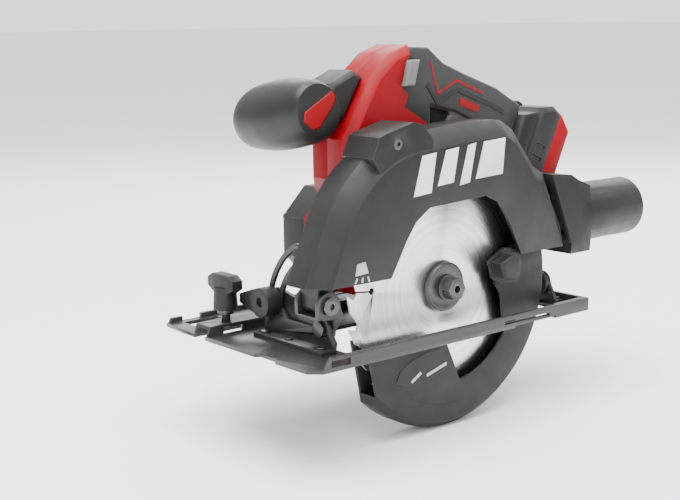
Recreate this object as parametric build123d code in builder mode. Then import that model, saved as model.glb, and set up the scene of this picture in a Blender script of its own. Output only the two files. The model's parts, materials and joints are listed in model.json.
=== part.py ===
from build123d import *
import math
import os

os.makedirs("parts", exist_ok=True)

# Cordless circular saw, blade on the left of the motor.
# Millimetres. +X is the cutting direction, +Y is the blade side (the saw's left), +Z is up.
# The origin is on the sole of the shoe, below the spindle, in the middle plane of the blade.

# ---------------------------------------------------------------- driving dimensions
# Blade and spindle
BLADE_R = 82.5
MAX_DEPTH = 54.0
SPINDLE_Z = BLADE_R - MAX_DEPTH
BLADE_T = 1.2
TOOTH_COUNT = 24
GULLET_DEPTH = 8.0
ARBOR_R = 7.9
FLANGE_R = 16.4
FLANGE_T = 4.1
BOLT_HEAD_AF = 13.0
BOLT_HEAD_T = 8.0
BOLT_SHANK_R = 3.0
BOLT_END = -12.0
WASHER_R = 8.6
WASHER_T = 1.6
SOCKET_AF = 5.0
SOCKET_DEPTH = 5.0

# Fits and clearances
FIT = 0.05
RUN_FIT = 0.08
RUN_GAP = 0.4

# Gearbox: one spur pair
GEAR_MODULE = 1.25
PINION_TEETH = 10
GEAR_TEETH = 38
CENTRE_DISTANCE = GEAR_MODULE * (PINION_TEETH + GEAR_TEETH) / 2
MOTOR_ANGLE = math.radians(62)
MOTOR_X = CENTRE_DISTANCE * math.cos(MOTOR_ANGLE)
MOTOR_Z = SPINDLE_Z + CENTRE_DISTANCE * math.sin(MOTOR_ANGLE)
GEAR_TIP_R = GEAR_MODULE * (GEAR_TEETH / 2 + 0.85)
PINION_TIP_R = GEAR_MODULE * (PINION_TEETH / 2 + 0.85)
GEARBOX_R = GEAR_TIP_R + 0.8 + 2.0
NOSE_R = 20.0
NOSE_FRONT = -(BLADE_T / 2 + FLANGE_T + 0.6)
GEAR_COVER_BACK = -17.5
GEARBOX_BACK = -42.0

# Motor
MOTOR_BARREL_R = 37.0
MOTOR_BORE_R = 31.2
MOTOR_MID = -84.0
MOTOR_END = -112.0
END_CAP_R = 33.0

# Upper guard
GUARD_FACE = 16.0
GUARD_BEVEL = 11.0
GUARD_BACK = -14.0
GUARD_BOTTOM = 44.4
GUARD_WALL = 2.5
GUARD_SCREW_X = 50.9
GUARD_SCREW_Z = 126.6
GUARD_SCREW_R = 2.0
GUARD_HEAD_R = 3.8

# Lower guard
LOWER_R = 93.1
LOWER_FACE = 9.0
LOWER_BACK = -8.5
LOWER_WALL = 2.2
LOWER_BEVEL = 4.6
TAIL_ANGLE = 160.0

# Shoe
SHOE_FRONT = 133.8
SHOE_REAR = -110.7
SHOE_LEFT = 32.0
SHOE_RIGHT = -129.6
SHOE_T = 2.5
RAIL_TOP = 8.9
RAIL_T = 2.6
HAT_LEFT = -78.0
HAT_RIGHT = -94.0
RIGHT_RIM_TOP = 5.7
SLOT_FRONT = 92.0
SLOT_REAR = -96.0
SLOT_LEFT = 26.6
SLOT_RIGHT = -43.0
FENCE_X = 113.0
FENCE_W = 15.0
FENCE_Z = SHOE_T
FENCE_H = 4.3
HAT_T = 2.0

# Bevel (tilt) and depth adjustment
TILT_Y = -4.0
TILT_Z = 16.0
TILT_BOSS_R = 8.5
TILT_PIN_R = 3.0
QUADRANT_R = 48.5
QUADRANT_HALF = 7.0
BOLT_R = 3.1
SLOT_HALF = BOLT_R + 0.4
BEVEL_REST = 168.0
BEVEL_RANGE = 50.0
BEVEL_BOLT_Y = TILT_Y + QUADRANT_R * math.cos(math.radians(BEVEL_REST))
BEVEL_BOLT_Z = TILT_Z + QUADRANT_R * math.sin(math.radians(BEVEL_REST))
PLATE_T = 2.6
FRONT_PANEL_X = 99.6
REAR_PANEL_X = -103.2
DEPTH_X = 104.4
DEPTH_Z = 33.3
DEPTH_RANGE = 31.0
EAR_R = 8.5
EAR_LEFT = 11.0
EAR_RIGHT = -12.0
GUIDE_R = 150.0
GUIDE_HALF = 6.5
GUIDE_REST = 3.0
GUIDE_LEFT = -16.6
DEPTH_BOLT_X = DEPTH_X - GUIDE_R * math.cos(math.radians(GUIDE_REST))
DEPTH_BOLT_Z = DEPTH_Z + GUIDE_R * math.sin(math.radians(GUIDE_REST))

# Handle, grip and battery
HANDLE_Y = -42.0
COLUMN_HALF = 20.0
GRIP_HALF = 17.2
GRIP_SKIN = 2.2
SHELL_WALL = 2.6
PACK_Y = -51.5
PACK_HALF = 35.5
PACK_THICK = 38.0
PACK_WALL = 2.4
PACK_TILT = math.radians(25.8)
FOOT_TOP_X = -112.8
FOOT_TOP_Z = 135.5
FOOT_THICK = 13.0

# Front handle and dust port
KNOB_Y_NEAR = -28.0
KNOB_Y_FAR = -104.0
KNOB_X = 78.5
KNOB_Z = 146.0
KNOB_DROOP = 8.0
DUST_R = 21.0
DUST_WALL = 2.5
DUST_Y = -4.0
DUST_Z = 62.0
DUST_END = -190.0
DUST_NECK = -133.0


# ---------------------------------------------------------------- helpers
def side(y):
    """Plane at height y on the Y axis, drawn in X and Z; extrusions run towards -Y."""
    return Plane.XZ.offset(-y)


def slab_y(points, y_low, y_high, mode=Mode.ADD):
    """An outline in X and Z, given thickness from y_low to y_high."""
    with BuildSketch(side(y_high)) as outline:
        with BuildLine():
            Polyline(*points, close=True)
        make_face()
    extrude(outline.sketch, amount=y_high - y_low, mode=mode)


def slab_x(points, x_low, x_high, mode=Mode.ADD):
    """An outline in Y and Z, given thickness from x_low to x_high."""
    with BuildSketch(Plane.YZ.offset(x_low)) as outline:
        with BuildLine():
            Polyline(*points, close=True)
        make_face()
    extrude(outline.sketch, amount=x_high - x_low, mode=mode)


def slab_z(points, z_low, z_high, mode=Mode.ADD):
    """An outline in X and Y, given thickness from z_low to z_high."""
    with BuildSketch(Plane.XY.offset(z_low)) as outline:
        with BuildLine():
            Polyline(*points, close=True)
        make_face()
    extrude(outline.sketch, amount=z_high - z_low, mode=mode)


def block(x_low, x_high, y_low, y_high, z_low, z_high, mode=Mode.ADD):
    """A rectangular block between two corners."""
    corners = [(x_low, y_low), (x_high, y_low), (x_high, y_high), (x_low, y_high)]
    slab_z(corners, z_low, z_high, mode)


def disc_y(x, z, radius, y_low, y_high, mode=Mode.ADD):
    """A disc or drum with its axis along Y."""
    with BuildSketch(side(y_high)) as outline:
        with Locations((x, z)):
            Circle(radius)
    extrude(outline.sketch, amount=y_high - y_low, mode=mode)


def disc_x(y, z, radius, x_low, x_high, mode=Mode.ADD):
    """A disc or drum with its axis along X."""
    with BuildSketch(Plane.YZ.offset(x_low)) as outline:
        with Locations((y, z)):
            Circle(radius)
    extrude(outline.sketch, amount=x_high - x_low, mode=mode)


def disc_z(x, y, radius, z_low, z_high, mode=Mode.ADD):
    """A disc or drum with its axis along Z."""
    with BuildSketch(Plane.XY.offset(z_low)) as outline:
        with Locations((x, y)):
            Circle(radius)
    extrude(outline.sketch, amount=z_high - z_low, mode=mode)


def hex_y(x, z, across_flats, y_low, y_high, mode=Mode.ADD):
    """A hexagon bar with its axis along Y."""
    with BuildSketch(side(y_high)) as outline:
        with Locations((x, z)):
            RegularPolygon(across_flats / 2, 6, major_radius=False)
    extrude(outline.sketch, amount=y_high - y_low, mode=mode)


def octagon_y(x, z, radius, y_low, y_high, mode=Mode.ADD):
    """An eight-sided drum with its axis along Y; radius is to the flats."""
    with BuildSketch(side(y_high)) as outline:
        with Locations((x, z)):
            RegularPolygon(radius, 8, major_radius=False, rotation=22.5)
    extrude(outline.sketch, amount=y_high - y_low, mode=mode)


def polar(radius, degrees, x=0.0, z=SPINDLE_Z):
    """A point in X and Z at an angle from +X towards +Z about (x, z)."""
    angle = math.radians(degrees)
    return (x + radius * math.cos(angle), z + radius * math.sin(angle))


def arc_band(plane, centre, radius, start, sweep, half, depth, mode=Mode.ADD):
    """A curved bar or slot: a band of the given half width about an arc, with round ends."""
    inner = [polar(radius - half, start + sweep * share, *centre) for share in (0, 0.5, 1)]
    outer = [polar(radius + half, start + sweep * share, *centre) for share in (1, 0.5, 0)]
    cap = math.degrees(half / radius)
    with BuildSketch(plane) as outline:
        with BuildLine():
            ThreePointArc(*inner)
            ThreePointArc(inner[2], polar(radius, start + sweep + cap, *centre), outer[0])
            ThreePointArc(*outer)
            ThreePointArc(outer[2], polar(radius, start - cap, *centre), inner[0])
        make_face()
    extrude(outline.sketch, amount=depth, mode=mode)


def grow(points, amount):
    """The corners of a closed outline, with each side moved outwards by amount."""
    area = sum(a[0] * b[1] - b[0] * a[1] for a, b in zip(points, points[1:] + points[:1]))
    turn = 1 if area > 0 else -1
    moved = []
    for before, here, after in zip(points[-1:] + points[:-1], points, points[1:] + points[:1]):
        into = math.atan2(here[1] - before[1], here[0] - before[0])
        away = math.atan2(after[1] - here[1], after[0] - here[0])
        half = (away - into) / 2
        reach = amount / math.cos(half)
        normal = into + half - turn * math.pi / 2
        moved.append((here[0] + reach * math.cos(normal), here[1] + reach * math.sin(normal)))
    return moved


def soft_block(points, y_low, y_high, edge):
    """A slab whose two side outlines are bevelled all round."""
    with BuildPart() as piece:
        slab_y(points, y_low, y_high)
        chamfer(piece.faces().filter_by(Axis.Y).edges(), length=edge)
    return piece.part


def gear_outline(teeth, module, tip_r, turn, tooth_share):
    """Corner points of a spur gear; turn is the angle of its first tooth in degrees."""
    pitch_r = module * teeth / 2
    root_r = pitch_r - 1.2 * module
    pitch_angle = 360 / teeth
    points = []
    for index in range(teeth):
        middle = turn + index * pitch_angle
        half = pitch_angle * tooth_share / 2
        points.append((root_r, middle - half * 1.35))
        points.append((pitch_r, middle - half))
        points.append((tip_r, middle - half * 0.55))
        points.append((tip_r, middle + half * 0.55))
        points.append((pitch_r, middle + half))
        points.append((root_r, middle + half * 1.35))
    return points


# ---------------------------------------------------------------- blade unit (turns on the spindle)
def blade_outline():
    """Tooth tips point in the turning direction, which is upwards at the front."""
    pitch = 360 / TOOTH_COUNT
    points = []
    for index in range(TOOTH_COUNT):
        tip = index * pitch + 4
        points.append(polar(BLADE_R - 2.6, tip - 0.52 * pitch))
        points.append(polar(BLADE_R, tip))
        points.append(polar(BLADE_R - 0.72 * GULLET_DEPTH, tip - 0.14 * pitch))
        points.append(polar(BLADE_R - GULLET_DEPTH, tip + 0.04 * pitch))
        points.append(polar(BLADE_R - 0.8 * GULLET_DEPTH, tip + 0.24 * pitch))
    return points


with BuildPart() as saw_blade:
    slab_y(blade_outline(), -BLADE_T / 2, BLADE_T / 2)
    disc_y(0, SPINDLE_Z, ARBOR_R + FIT, -BLADE_T, BLADE_T, Mode.SUBTRACT)
    for index in range(4):
        slot_angle = index * 90 + 360 / TOOTH_COUNT * 0.09 + 4
        hole_x, hole_z = polar(62, slot_angle)
        disc_y(hole_x, hole_z, 2.2, -BLADE_T, BLADE_T, Mode.SUBTRACT)
        slot_points = [
            polar(62, slot_angle - 0.5),
            polar(BLADE_R - GULLET_DEPTH + 3, slot_angle - 0.4),
            polar(BLADE_R - GULLET_DEPTH + 3, slot_angle + 0.4),
            polar(62, slot_angle + 0.5),
        ]
        slab_y(slot_points, -BLADE_T, BLADE_T, Mode.SUBTRACT)
saw_blade.part.label = "saw_blade"
export_step(saw_blade.part, "parts/saw_blade.step")

with BuildPart() as inner_flange:
    disc_y(0, SPINDLE_Z, FLANGE_R, -BLADE_T / 2 - FLANGE_T, -BLADE_T / 2)
    disc_y(0, SPINDLE_Z, FLANGE_R - 4, -BLADE_T / 2 - 0.6, -BLADE_T / 2, Mode.SUBTRACT)
    disc_y(0, SPINDLE_Z, ARBOR_R + FIT, -BLADE_T / 2 - FLANGE_T, -BLADE_T / 2, Mode.SUBTRACT)
inner_flange.part.label = "inner_flange"
export_step(inner_flange.part, "parts/inner_flange.step")

FLANGE_OUT = BLADE_T / 2 + FLANGE_T
with BuildPart() as outer_flange:
    disc_y(0, SPINDLE_Z, FLANGE_R, BLADE_T / 2, FLANGE_OUT)
    chamfer(outer_flange.faces().sort_by(Axis.Y)[-1].edges(), length=1.2)
    disc_y(0, SPINDLE_Z, ARBOR_R + 0.6, BLADE_T / 2, BLADE_T / 2 + 1.2, Mode.SUBTRACT)
    disc_y(0, SPINDLE_Z, BOLT_SHANK_R + FIT, 0, FLANGE_OUT, Mode.SUBTRACT)
outer_flange.part.label = "outer_flange"
export_step(outer_flange.part, "parts/outer_flange.step")

with BuildPart() as blade_bolt:
    disc_y(0, SPINDLE_Z, WASHER_R, FLANGE_OUT, FLANGE_OUT + WASHER_T)
    hex_y(0, SPINDLE_Z, BOLT_HEAD_AF, FLANGE_OUT + WASHER_T, FLANGE_OUT + WASHER_T + BOLT_HEAD_T)
    disc_y(0, SPINDLE_Z, BOLT_SHANK_R, BOLT_END, FLANGE_OUT)
    hex_y(0, SPINDLE_Z, SOCKET_AF, FLANGE_OUT + WASHER_T + BOLT_HEAD_T - SOCKET_DEPTH,
          FLANGE_OUT + WASHER_T + BOLT_HEAD_T, Mode.SUBTRACT)
blade_bolt.part.label = "blade_bolt"
export_step(blade_bolt.part, "parts/blade_bolt.step")

SPINDLE_R = 6.5
SPINDLE_TAIL_R = 5.0
SPINDLE_END = -40.4
WHEEL_ROOM_BACK = -33.0
with BuildPart() as spindle:
    disc_y(0, SPINDLE_Z, SPINDLE_TAIL_R, SPINDLE_END, WHEEL_ROOM_BACK)
    disc_y(0, SPINDLE_Z, SPINDLE_R, WHEEL_ROOM_BACK, -BLADE_T / 2 - FLANGE_T)
    disc_y(0, SPINDLE_Z, ARBOR_R, -BLADE_T / 2 - FLANGE_T, BLADE_T / 2)
    disc_y(0, SPINDLE_Z, BOLT_SHANK_R, BOLT_END - 2, BLADE_T / 2, Mode.SUBTRACT)
spindle.part.label = "spindle"
export_step(spindle.part, "parts/spindle.step")

# The pair meshes on the line of centres: a gap of the wheel faces a tooth of the pinion.
MESH_DEG = math.degrees(MOTOR_ANGLE)
WHEEL_BACK = -30.0
WHEEL_FRONT = -22.0
TOOTH_SHARE = 0.40
wheel_turn = MESH_DEG + 180 / GEAR_TEETH
pinion_turn = MESH_DEG + 180
with BuildPart() as spindle_gear:
    wheel = gear_outline(GEAR_TEETH, GEAR_MODULE, GEAR_TIP_R, wheel_turn, TOOTH_SHARE)
    slab_y([polar(radius, degrees) for radius, degrees in wheel], WHEEL_BACK, WHEEL_FRONT)
    disc_y(0, SPINDLE_Z, SPINDLE_R, WHEEL_BACK, WHEEL_FRONT, Mode.SUBTRACT)
    for index in range(5):
        hole_x, hole_z = polar(14, 72 * index)
        disc_y(hole_x, hole_z, 3, WHEEL_BACK, WHEEL_FRONT, Mode.SUBTRACT)
spindle_gear.part.label = "spindle_gear"
export_step(spindle_gear.part, "parts/spindle_gear.step")

# ---------------------------------------------------------------- rotor (turns with the pinion)
ROTOR_SHAFT_R = 3.0
ROTOR_SEAT_R = 4.0
ROTOR_SEAT_END = WHEEL_ROOM_BACK - 1.5
PINION_BACK = WHEEL_BACK - 1.5
PINION_FRONT = WHEEL_FRONT + 1.5
CORE_BACK = -83.0
CORE_FRONT = -56.0
WINDING_REACH = 4.0
MAGNET_T = 8.1
CAN_WALL = 2.0
CAN_R = MOTOR_BORE_R - 2.1
CORE_GAP = 1.0
CORE_R = CAN_R - CAN_WALL - MAGNET_T - CORE_GAP
COMMUTATOR_R = 9.0
COMMUTATOR_BACK = -99.0
COMMUTATOR_FRONT = -88.0
with BuildPart() as rotor_shaft:
    pinion = gear_outline(PINION_TEETH, GEAR_MODULE, PINION_TIP_R, pinion_turn, TOOTH_SHARE)
    slab_y([polar(r, a, MOTOR_X, MOTOR_Z) for r, a in pinion], PINION_BACK, PINION_FRONT)
    disc_y(MOTOR_X, MOTOR_Z, ROTOR_SEAT_R, GEARBOX_BACK, PINION_BACK)
    disc_y(MOTOR_X, MOTOR_Z, ROTOR_SHAFT_R, MOTOR_END + 3.5, GEARBOX_BACK)
rotor_shaft.part.label = "rotor_shaft"
export_step(rotor_shaft.part, "parts/rotor_shaft.step")

with BuildPart() as rotor_core:
    disc_y(MOTOR_X, MOTOR_Z, CORE_R, CORE_BACK, CORE_FRONT)
    disc_y(MOTOR_X, MOTOR_Z, CORE_R - 5, CORE_BACK - WINDING_REACH, CORE_FRONT + WINDING_REACH)
    for index in range(9):
        slot_x, slot_z = polar(CORE_R - 0.6, 40 * index, MOTOR_X, MOTOR_Z)
        disc_y(slot_x, slot_z, 1.6, CORE_BACK, CORE_FRONT, Mode.SUBTRACT)
    disc_y(MOTOR_X, MOTOR_Z, ROTOR_SHAFT_R, CORE_BACK - WINDING_REACH, CORE_FRONT + WINDING_REACH,
           Mode.SUBTRACT)
rotor_core.part.label = "rotor_core"
export_step(rotor_core.part, "parts/rotor_core.step")

with BuildPart() as commutator:
    disc_y(MOTOR_X, MOTOR_Z, COMMUTATOR_R, COMMUTATOR_BACK, COMMUTATOR_FRONT)
    disc_y(MOTOR_X, MOTOR_Z, ROTOR_SHAFT_R, COMMUTATOR_BACK, COMMUTATOR_FRONT, Mode.SUBTRACT)
    for index in range(12):
        seam_x, seam_z = polar(COMMUTATOR_R, 30 * index, MOTOR_X, MOTOR_Z)
        disc_y(seam_x, seam_z, 0.5, COMMUTATOR_BACK, COMMUTATOR_FRONT, Mode.SUBTRACT)
commutator.part.label = "commutator"
export_step(commutator.part, "parts/commutator.step")

FAN_R = MOTOR_BORE_R - 4.2
FAN_HUB_R = 7.0
FAN_BACK = -50.0
FAN_FRONT = -44.0
VANE_LENGTH = FAN_R - FAN_HUB_R
with BuildPart() as motor_fan:
    disc_y(MOTOR_X, MOTOR_Z, FAN_HUB_R, FAN_BACK, FAN_FRONT)
    disc_y(MOTOR_X, MOTOR_Z, FAN_R, FAN_BACK, FAN_BACK + 1.4)
    for index in range(10):
        with BuildSketch(side(FAN_FRONT)) as vane:
            with Locations(Location((MOTOR_X, MOTOR_Z), 36 * index)):
                with Locations((FAN_HUB_R + VANE_LENGTH / 2 - 0.5, 0)):
                    Rectangle(VANE_LENGTH, 1.2)
        extrude(vane.sketch, amount=FAN_FRONT - FAN_BACK - 1)
    disc_y(MOTOR_X, MOTOR_Z, ROTOR_SHAFT_R, FAN_BACK, FAN_FRONT, Mode.SUBTRACT)
motor_fan.part.label = "motor_fan"
export_step(motor_fan.part, "parts/motor_fan.step")

# ---------------------------------------------------------------- gearbox
def gearbox_outline(grow):
    """Two drums joined by their common tangents, grown outwards by the given amount."""
    with BuildSketch(side(0)) as outline:
        with Locations((0, SPINDLE_Z)):
            Circle(GEARBOX_R + grow)
        with Locations((MOTOR_X, MOTOR_Z)):
            Circle(17 + grow)
        make_hull()
    return outline.sketch


BEARING_R = 14.0
BEARING_BACK = -15.5
TAIL_RACE_R = 9.0
FRONT_RACE_R = 9.5
REAR_RACE_R = 8.0
LOCK_Y = -26.0
LOCK_R = 3.1
LOCK_BOSS_X = GEARBOX_R + 9
LOCK_TRAVEL = 3.0
with BuildPart() as gear_cover:
    extrude(gearbox_outline(0).moved(Location((0, GUARD_BACK, 0))), amount=GUARD_BACK - GEAR_COVER_BACK)
    disc_y(0, SPINDLE_Z, NOSE_R, GUARD_BACK, NOSE_FRONT)
    disc_y(0, SPINDLE_Z, BEARING_R, GEAR_COVER_BACK, NOSE_FRONT - 2, Mode.SUBTRACT)
    disc_y(0, SPINDLE_Z, SPINDLE_R + 1.5, GEAR_COVER_BACK, NOSE_FRONT, Mode.SUBTRACT)
    with BuildSketch(side(NOSE_FRONT - 0.4)) as ring_groove:
        with Locations((0, SPINDLE_Z)):
            Circle(NOSE_R + 1)
            Circle(NOSE_R - 1.5, mode=Mode.SUBTRACT)
    extrude(ring_groove.sketch, amount=0.9, mode=Mode.SUBTRACT)
gear_cover.part.label = "gear_cover"
export_step(gear_cover.part, "parts/gear_cover.step")

with BuildPart() as gear_housing:
    extrude(gearbox_outline(0).moved(Location((0, GEAR_COVER_BACK, 0))),
            amount=GEAR_COVER_BACK - GEARBOX_BACK)
    octagon_y(MOTOR_X, MOTOR_Z, MOTOR_BARREL_R - 3, GEARBOX_BACK, GEARBOX_BACK + 4)
    disc_x(LOCK_Y, SPINDLE_Z, LOCK_R + 2.5, GEARBOX_R - 4, LOCK_BOSS_X)
    disc_y(0, SPINDLE_Z, GEARBOX_R - 2, WHEEL_ROOM_BACK, GEAR_COVER_BACK, Mode.SUBTRACT)
    disc_y(MOTOR_X, MOTOR_Z, PINION_TIP_R + 1.5, WHEEL_ROOM_BACK, GEAR_COVER_BACK, Mode.SUBTRACT)
    disc_y(0, SPINDLE_Z, TAIL_RACE_R, SPINDLE_END - 0.2, WHEEL_ROOM_BACK, Mode.SUBTRACT)
    disc_y(MOTOR_X, MOTOR_Z, FRONT_RACE_R, GEARBOX_BACK, ROTOR_SEAT_END, Mode.SUBTRACT)
    disc_y(MOTOR_X, MOTOR_Z, ROTOR_SEAT_R + 1, GEARBOX_BACK, WHEEL_ROOM_BACK, Mode.SUBTRACT)
    disc_x(LOCK_Y, SPINDLE_Z, LOCK_R + RUN_FIT, GEARBOX_R - 6, LOCK_BOSS_X, Mode.SUBTRACT)
gear_housing.part.label = "gear_housing"
export_step(gear_housing.part, "parts/gear_housing.step")

with BuildPart() as spindle_bearings:
    disc_y(0, SPINDLE_Z, BEARING_R, BEARING_BACK, NOSE_FRONT - 2)
    disc_y(0, SPINDLE_Z, SPINDLE_R, BEARING_BACK, NOSE_FRONT - 2, Mode.SUBTRACT)
    disc_y(0, SPINDLE_Z, TAIL_RACE_R, SPINDLE_END, WHEEL_ROOM_BACK - 1)
    disc_y(0, SPINDLE_Z, SPINDLE_TAIL_R, SPINDLE_END, WHEEL_ROOM_BACK - 1, Mode.SUBTRACT)
spindle_bearings.part.label = "spindle_bearings"
export_step(spindle_bearings.part, "parts/spindle_bearings.step")

RING_R = NOSE_R + 2
with BuildPart() as retaining_ring:
    disc_y(0, SPINDLE_Z, RING_R, NOSE_FRONT - 1.25, NOSE_FRONT - 0.45)
    disc_y(0, SPINDLE_Z, NOSE_R - 1.5, NOSE_FRONT - 1.25, NOSE_FRONT - 0.45, Mode.SUBTRACT)
    gap_z = SPINDLE_Z - NOSE_R
    block(-3, 3, NOSE_FRONT - 2, NOSE_FRONT, gap_z - 4, gap_z + 4, Mode.SUBTRACT)
retaining_ring.part.label = "retaining_ring"
export_step(retaining_ring.part, "parts/retaining_ring.step")

# ---------------------------------------------------------------- motor
MOTOR_SCREW_R = 1.5
MOTOR_SCREW_END = -60.0
MOTOR_SCREW_HEAD = MOTOR_END + 5
MOTOR_SCREW_SPOTS = [polar(33.2, 22.5 + 90 * index, MOTOR_X, MOTOR_Z) for index in range(4)]
with BuildPart() as motor_housing:
    octagon_y(MOTOR_X, MOTOR_Z, MOTOR_BARREL_R, MOTOR_MID, GEARBOX_BACK)
    chamfer(motor_housing.faces().sort_by(Axis.Y)[0].edges(), length=3.4)
    disc_y(MOTOR_X, MOTOR_Z, MOTOR_BORE_R, MOTOR_MID, GEARBOX_BACK, Mode.SUBTRACT)
    for screw_x, screw_z in MOTOR_SCREW_SPOTS:
        disc_y(screw_x, screw_z, MOTOR_SCREW_R, MOTOR_MID, MOTOR_SCREW_END, Mode.SUBTRACT)
    for index in range(4):
        slot_y = -58 - 6 * index
        block(MOTOR_X + MOTOR_BORE_R - 1, MOTOR_X + MOTOR_BARREL_R + 1, slot_y - 1.3, slot_y + 1.3,
              MOTOR_Z - 10, MOTOR_Z + 10, Mode.SUBTRACT)
motor_housing.part.label = "motor_housing"
export_step(motor_housing.part, "parts/motor_housing.step")

with BuildPart() as motor_end_cap:
    octagon_y(MOTOR_X, MOTOR_Z, END_CAP_R, MOTOR_END, MOTOR_MID)
    chamfer(motor_end_cap.faces().sort_by(Axis.Y)[0].edges(), length=3)
    disc_y(MOTOR_X, MOTOR_Z, MOTOR_BORE_R - 2, MOTOR_END + 3, MOTOR_MID, Mode.SUBTRACT)
    for screw_x, screw_z in MOTOR_SCREW_SPOTS:
        disc_y(screw_x, screw_z, MOTOR_SCREW_R, MOTOR_END, MOTOR_MID, Mode.SUBTRACT)
        disc_y(screw_x, screw_z, 2 * MOTOR_SCREW_R, MOTOR_END, MOTOR_SCREW_HEAD, Mode.SUBTRACT)
    disc_y(MOTOR_X, MOTOR_Z, REAR_RACE_R + 3, MOTOR_END + 2, MOTOR_END + 10)
    disc_y(MOTOR_X, MOTOR_Z, REAR_RACE_R, MOTOR_END + 3, MOTOR_END + 10, Mode.SUBTRACT)
    for index in range(8):
        with BuildSketch(side(MOTOR_END + 5)) as vent:
            with Locations(Location((MOTOR_X, MOTOR_Z), 45 * index)):
                with Locations((20, 0)):
                    SlotOverall(12, 3.4, rotation=90)
        extrude(vent.sketch, amount=8, mode=Mode.SUBTRACT)
motor_end_cap.part.label = "motor_end_cap"
export_step(motor_end_cap.part, "parts/motor_end_cap.step")

CAN_BACK = -90.0
CAN_FRONT = -51.5
MAGNET_IN_R = CORE_R + CORE_GAP
with BuildPart() as motor_magnet_can:
    disc_y(MOTOR_X, MOTOR_Z, CAN_R, CAN_BACK, CAN_FRONT)
    disc_y(MOTOR_X, MOTOR_Z, CAN_R - CAN_WALL, CAN_BACK, CAN_FRONT, Mode.SUBTRACT)
    for centre_deg in (0, 180):
        with BuildSketch(side(CORE_FRONT)) as magnet:
            with BuildLine():
                CenterArc((MOTOR_X, MOTOR_Z), CAN_R - CAN_WALL, centre_deg - 60, 120)
                CenterArc((MOTOR_X, MOTOR_Z), MAGNET_IN_R, centre_deg - 60, 120)
                Line(polar(MAGNET_IN_R, centre_deg - 60, MOTOR_X, MOTOR_Z),
                     polar(CAN_R - CAN_WALL, centre_deg - 60, MOTOR_X, MOTOR_Z))
                Line(polar(MAGNET_IN_R, centre_deg + 60, MOTOR_X, MOTOR_Z),
                     polar(CAN_R - CAN_WALL, centre_deg + 60, MOTOR_X, MOTOR_Z))
            make_face()
        extrude(magnet.sketch, amount=CORE_FRONT - CORE_BACK)
motor_magnet_can.part.label = "motor_magnet_can"
export_step(motor_magnet_can.part, "parts/motor_magnet_can.step")

with BuildPart() as motor_bearings:
    disc_y(MOTOR_X, MOTOR_Z, FRONT_RACE_R, GEARBOX_BACK + 0.5, ROTOR_SEAT_END)
    disc_y(MOTOR_X, MOTOR_Z, ROTOR_SEAT_R + RUN_FIT, GEARBOX_BACK + 0.5, ROTOR_SEAT_END, Mode.SUBTRACT)
    disc_y(MOTOR_X, MOTOR_Z, REAR_RACE_R, MOTOR_END + 3.2, MOTOR_END + 9)
    disc_y(MOTOR_X, MOTOR_Z, ROTOR_SHAFT_R + RUN_FIT, MOTOR_END + 3.2, MOTOR_END + 9, Mode.SUBTRACT)
motor_bearings.part.label = "motor_bearings"
export_step(motor_bearings.part, "parts/motor_bearings.step")

with BuildPart() as motor_brushes:
    for sign in (-1, 1):
        inner_z = MOTOR_Z + sign * (COMMUTATOR_R + RUN_GAP)
        outer_z = MOTOR_Z + sign * 21
        block(MOTOR_X - 3, MOTOR_X + 3, COMMUTATOR_BACK + 1, COMMUTATOR_FRONT - 3, min(inner_z, outer_z),
              max(inner_z, outer_z))
motor_brushes.part.label = "motor_brushes"
export_step(motor_brushes.part, "parts/motor_brushes.step")

# ---------------------------------------------------------------- lower guard (swings on the gearbox nose)
with BuildPart() as lower_guard:
    disc_y(0, SPINDLE_Z, LOWER_R, LOWER_BACK, LOWER_FACE)
    chamfer(lower_guard.faces().sort_by(Axis.Y)[-1].edges(), length=LOWER_BEVEL)
    disc_y(0, SPINDLE_Z, LOWER_R - LOWER_WALL - 1.6, LOWER_BACK + LOWER_WALL,
           LOWER_FACE - LOWER_WALL, Mode.SUBTRACT)
    # The side towards the saw's top is open, from the nose in front round to the tail behind.
    opening = [(0, SPINDLE_Z), (22, 5), (73, 3), (66.3, -29.2), (61, -56), (150, -56), (150, 150),
               (-150, 150), polar(2 * LOWER_R, TAIL_ANGLE)]
    slab_y(opening, LOWER_BACK - 1, LOWER_FACE + 1, Mode.SUBTRACT)
    # The outer wall shows the flange behind a window that narrows upwards.
    window = [polar(41.8, TAIL_ANGLE - 2), polar(41.8, -175), polar(48.6, -166), polar(55, -153),
              polar(64, -142), polar(64, -130), polar(64, -118), polar(64, -107), polar(64, -97),
              (-4, -26), (3.7, -9), (8, 0.5), (150, 0.5), (150, 150), (-20, 150)]
    slab_y(window, LOWER_FACE - LOWER_WALL - 0.1, LOWER_FACE + 1, Mode.SUBTRACT)
    disc_y(0, SPINDLE_Z, NOSE_R + 7, LOWER_BACK, LOWER_BACK + LOWER_WALL)
    disc_y(0, SPINDLE_Z, NOSE_R + RUN_FIT, LOWER_BACK - 1, 0, Mode.SUBTRACT)
    disc_y(0, SPINDLE_Z, RING_R + RUN_GAP, NOSE_FRONT - 1.25 - RUN_GAP, 0, Mode.SUBTRACT)
lower_guard.part.label = "lower_guard"
export_step(lower_guard.part, "parts/lower_guard.step")

LEVER_OUT = 21.0
with BuildPart() as guard_lever:
    plate = [polar(36, 178), polar(35, 158), polar(52, 156), polar(63, 163), polar(65, 172),
             polar(63, 179), polar(60, 184), polar(44, 184)]
    slab_y(plate, LOWER_FACE, LOWER_FACE + 2.6)
    tab = [polar(38, 176), polar(37, 160), polar(50, 160), polar(54, 166), polar(54, 178), polar(48, 181)]
    slab_y(tab, LOWER_FACE, LEVER_OUT)
    chamfer(guard_lever.faces().sort_by(Axis.Y)[-1].edges(), length=2)
guard_lever.part.label = "guard_lever"
export_step(guard_lever.part, "parts/guard_lever.step")

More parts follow.
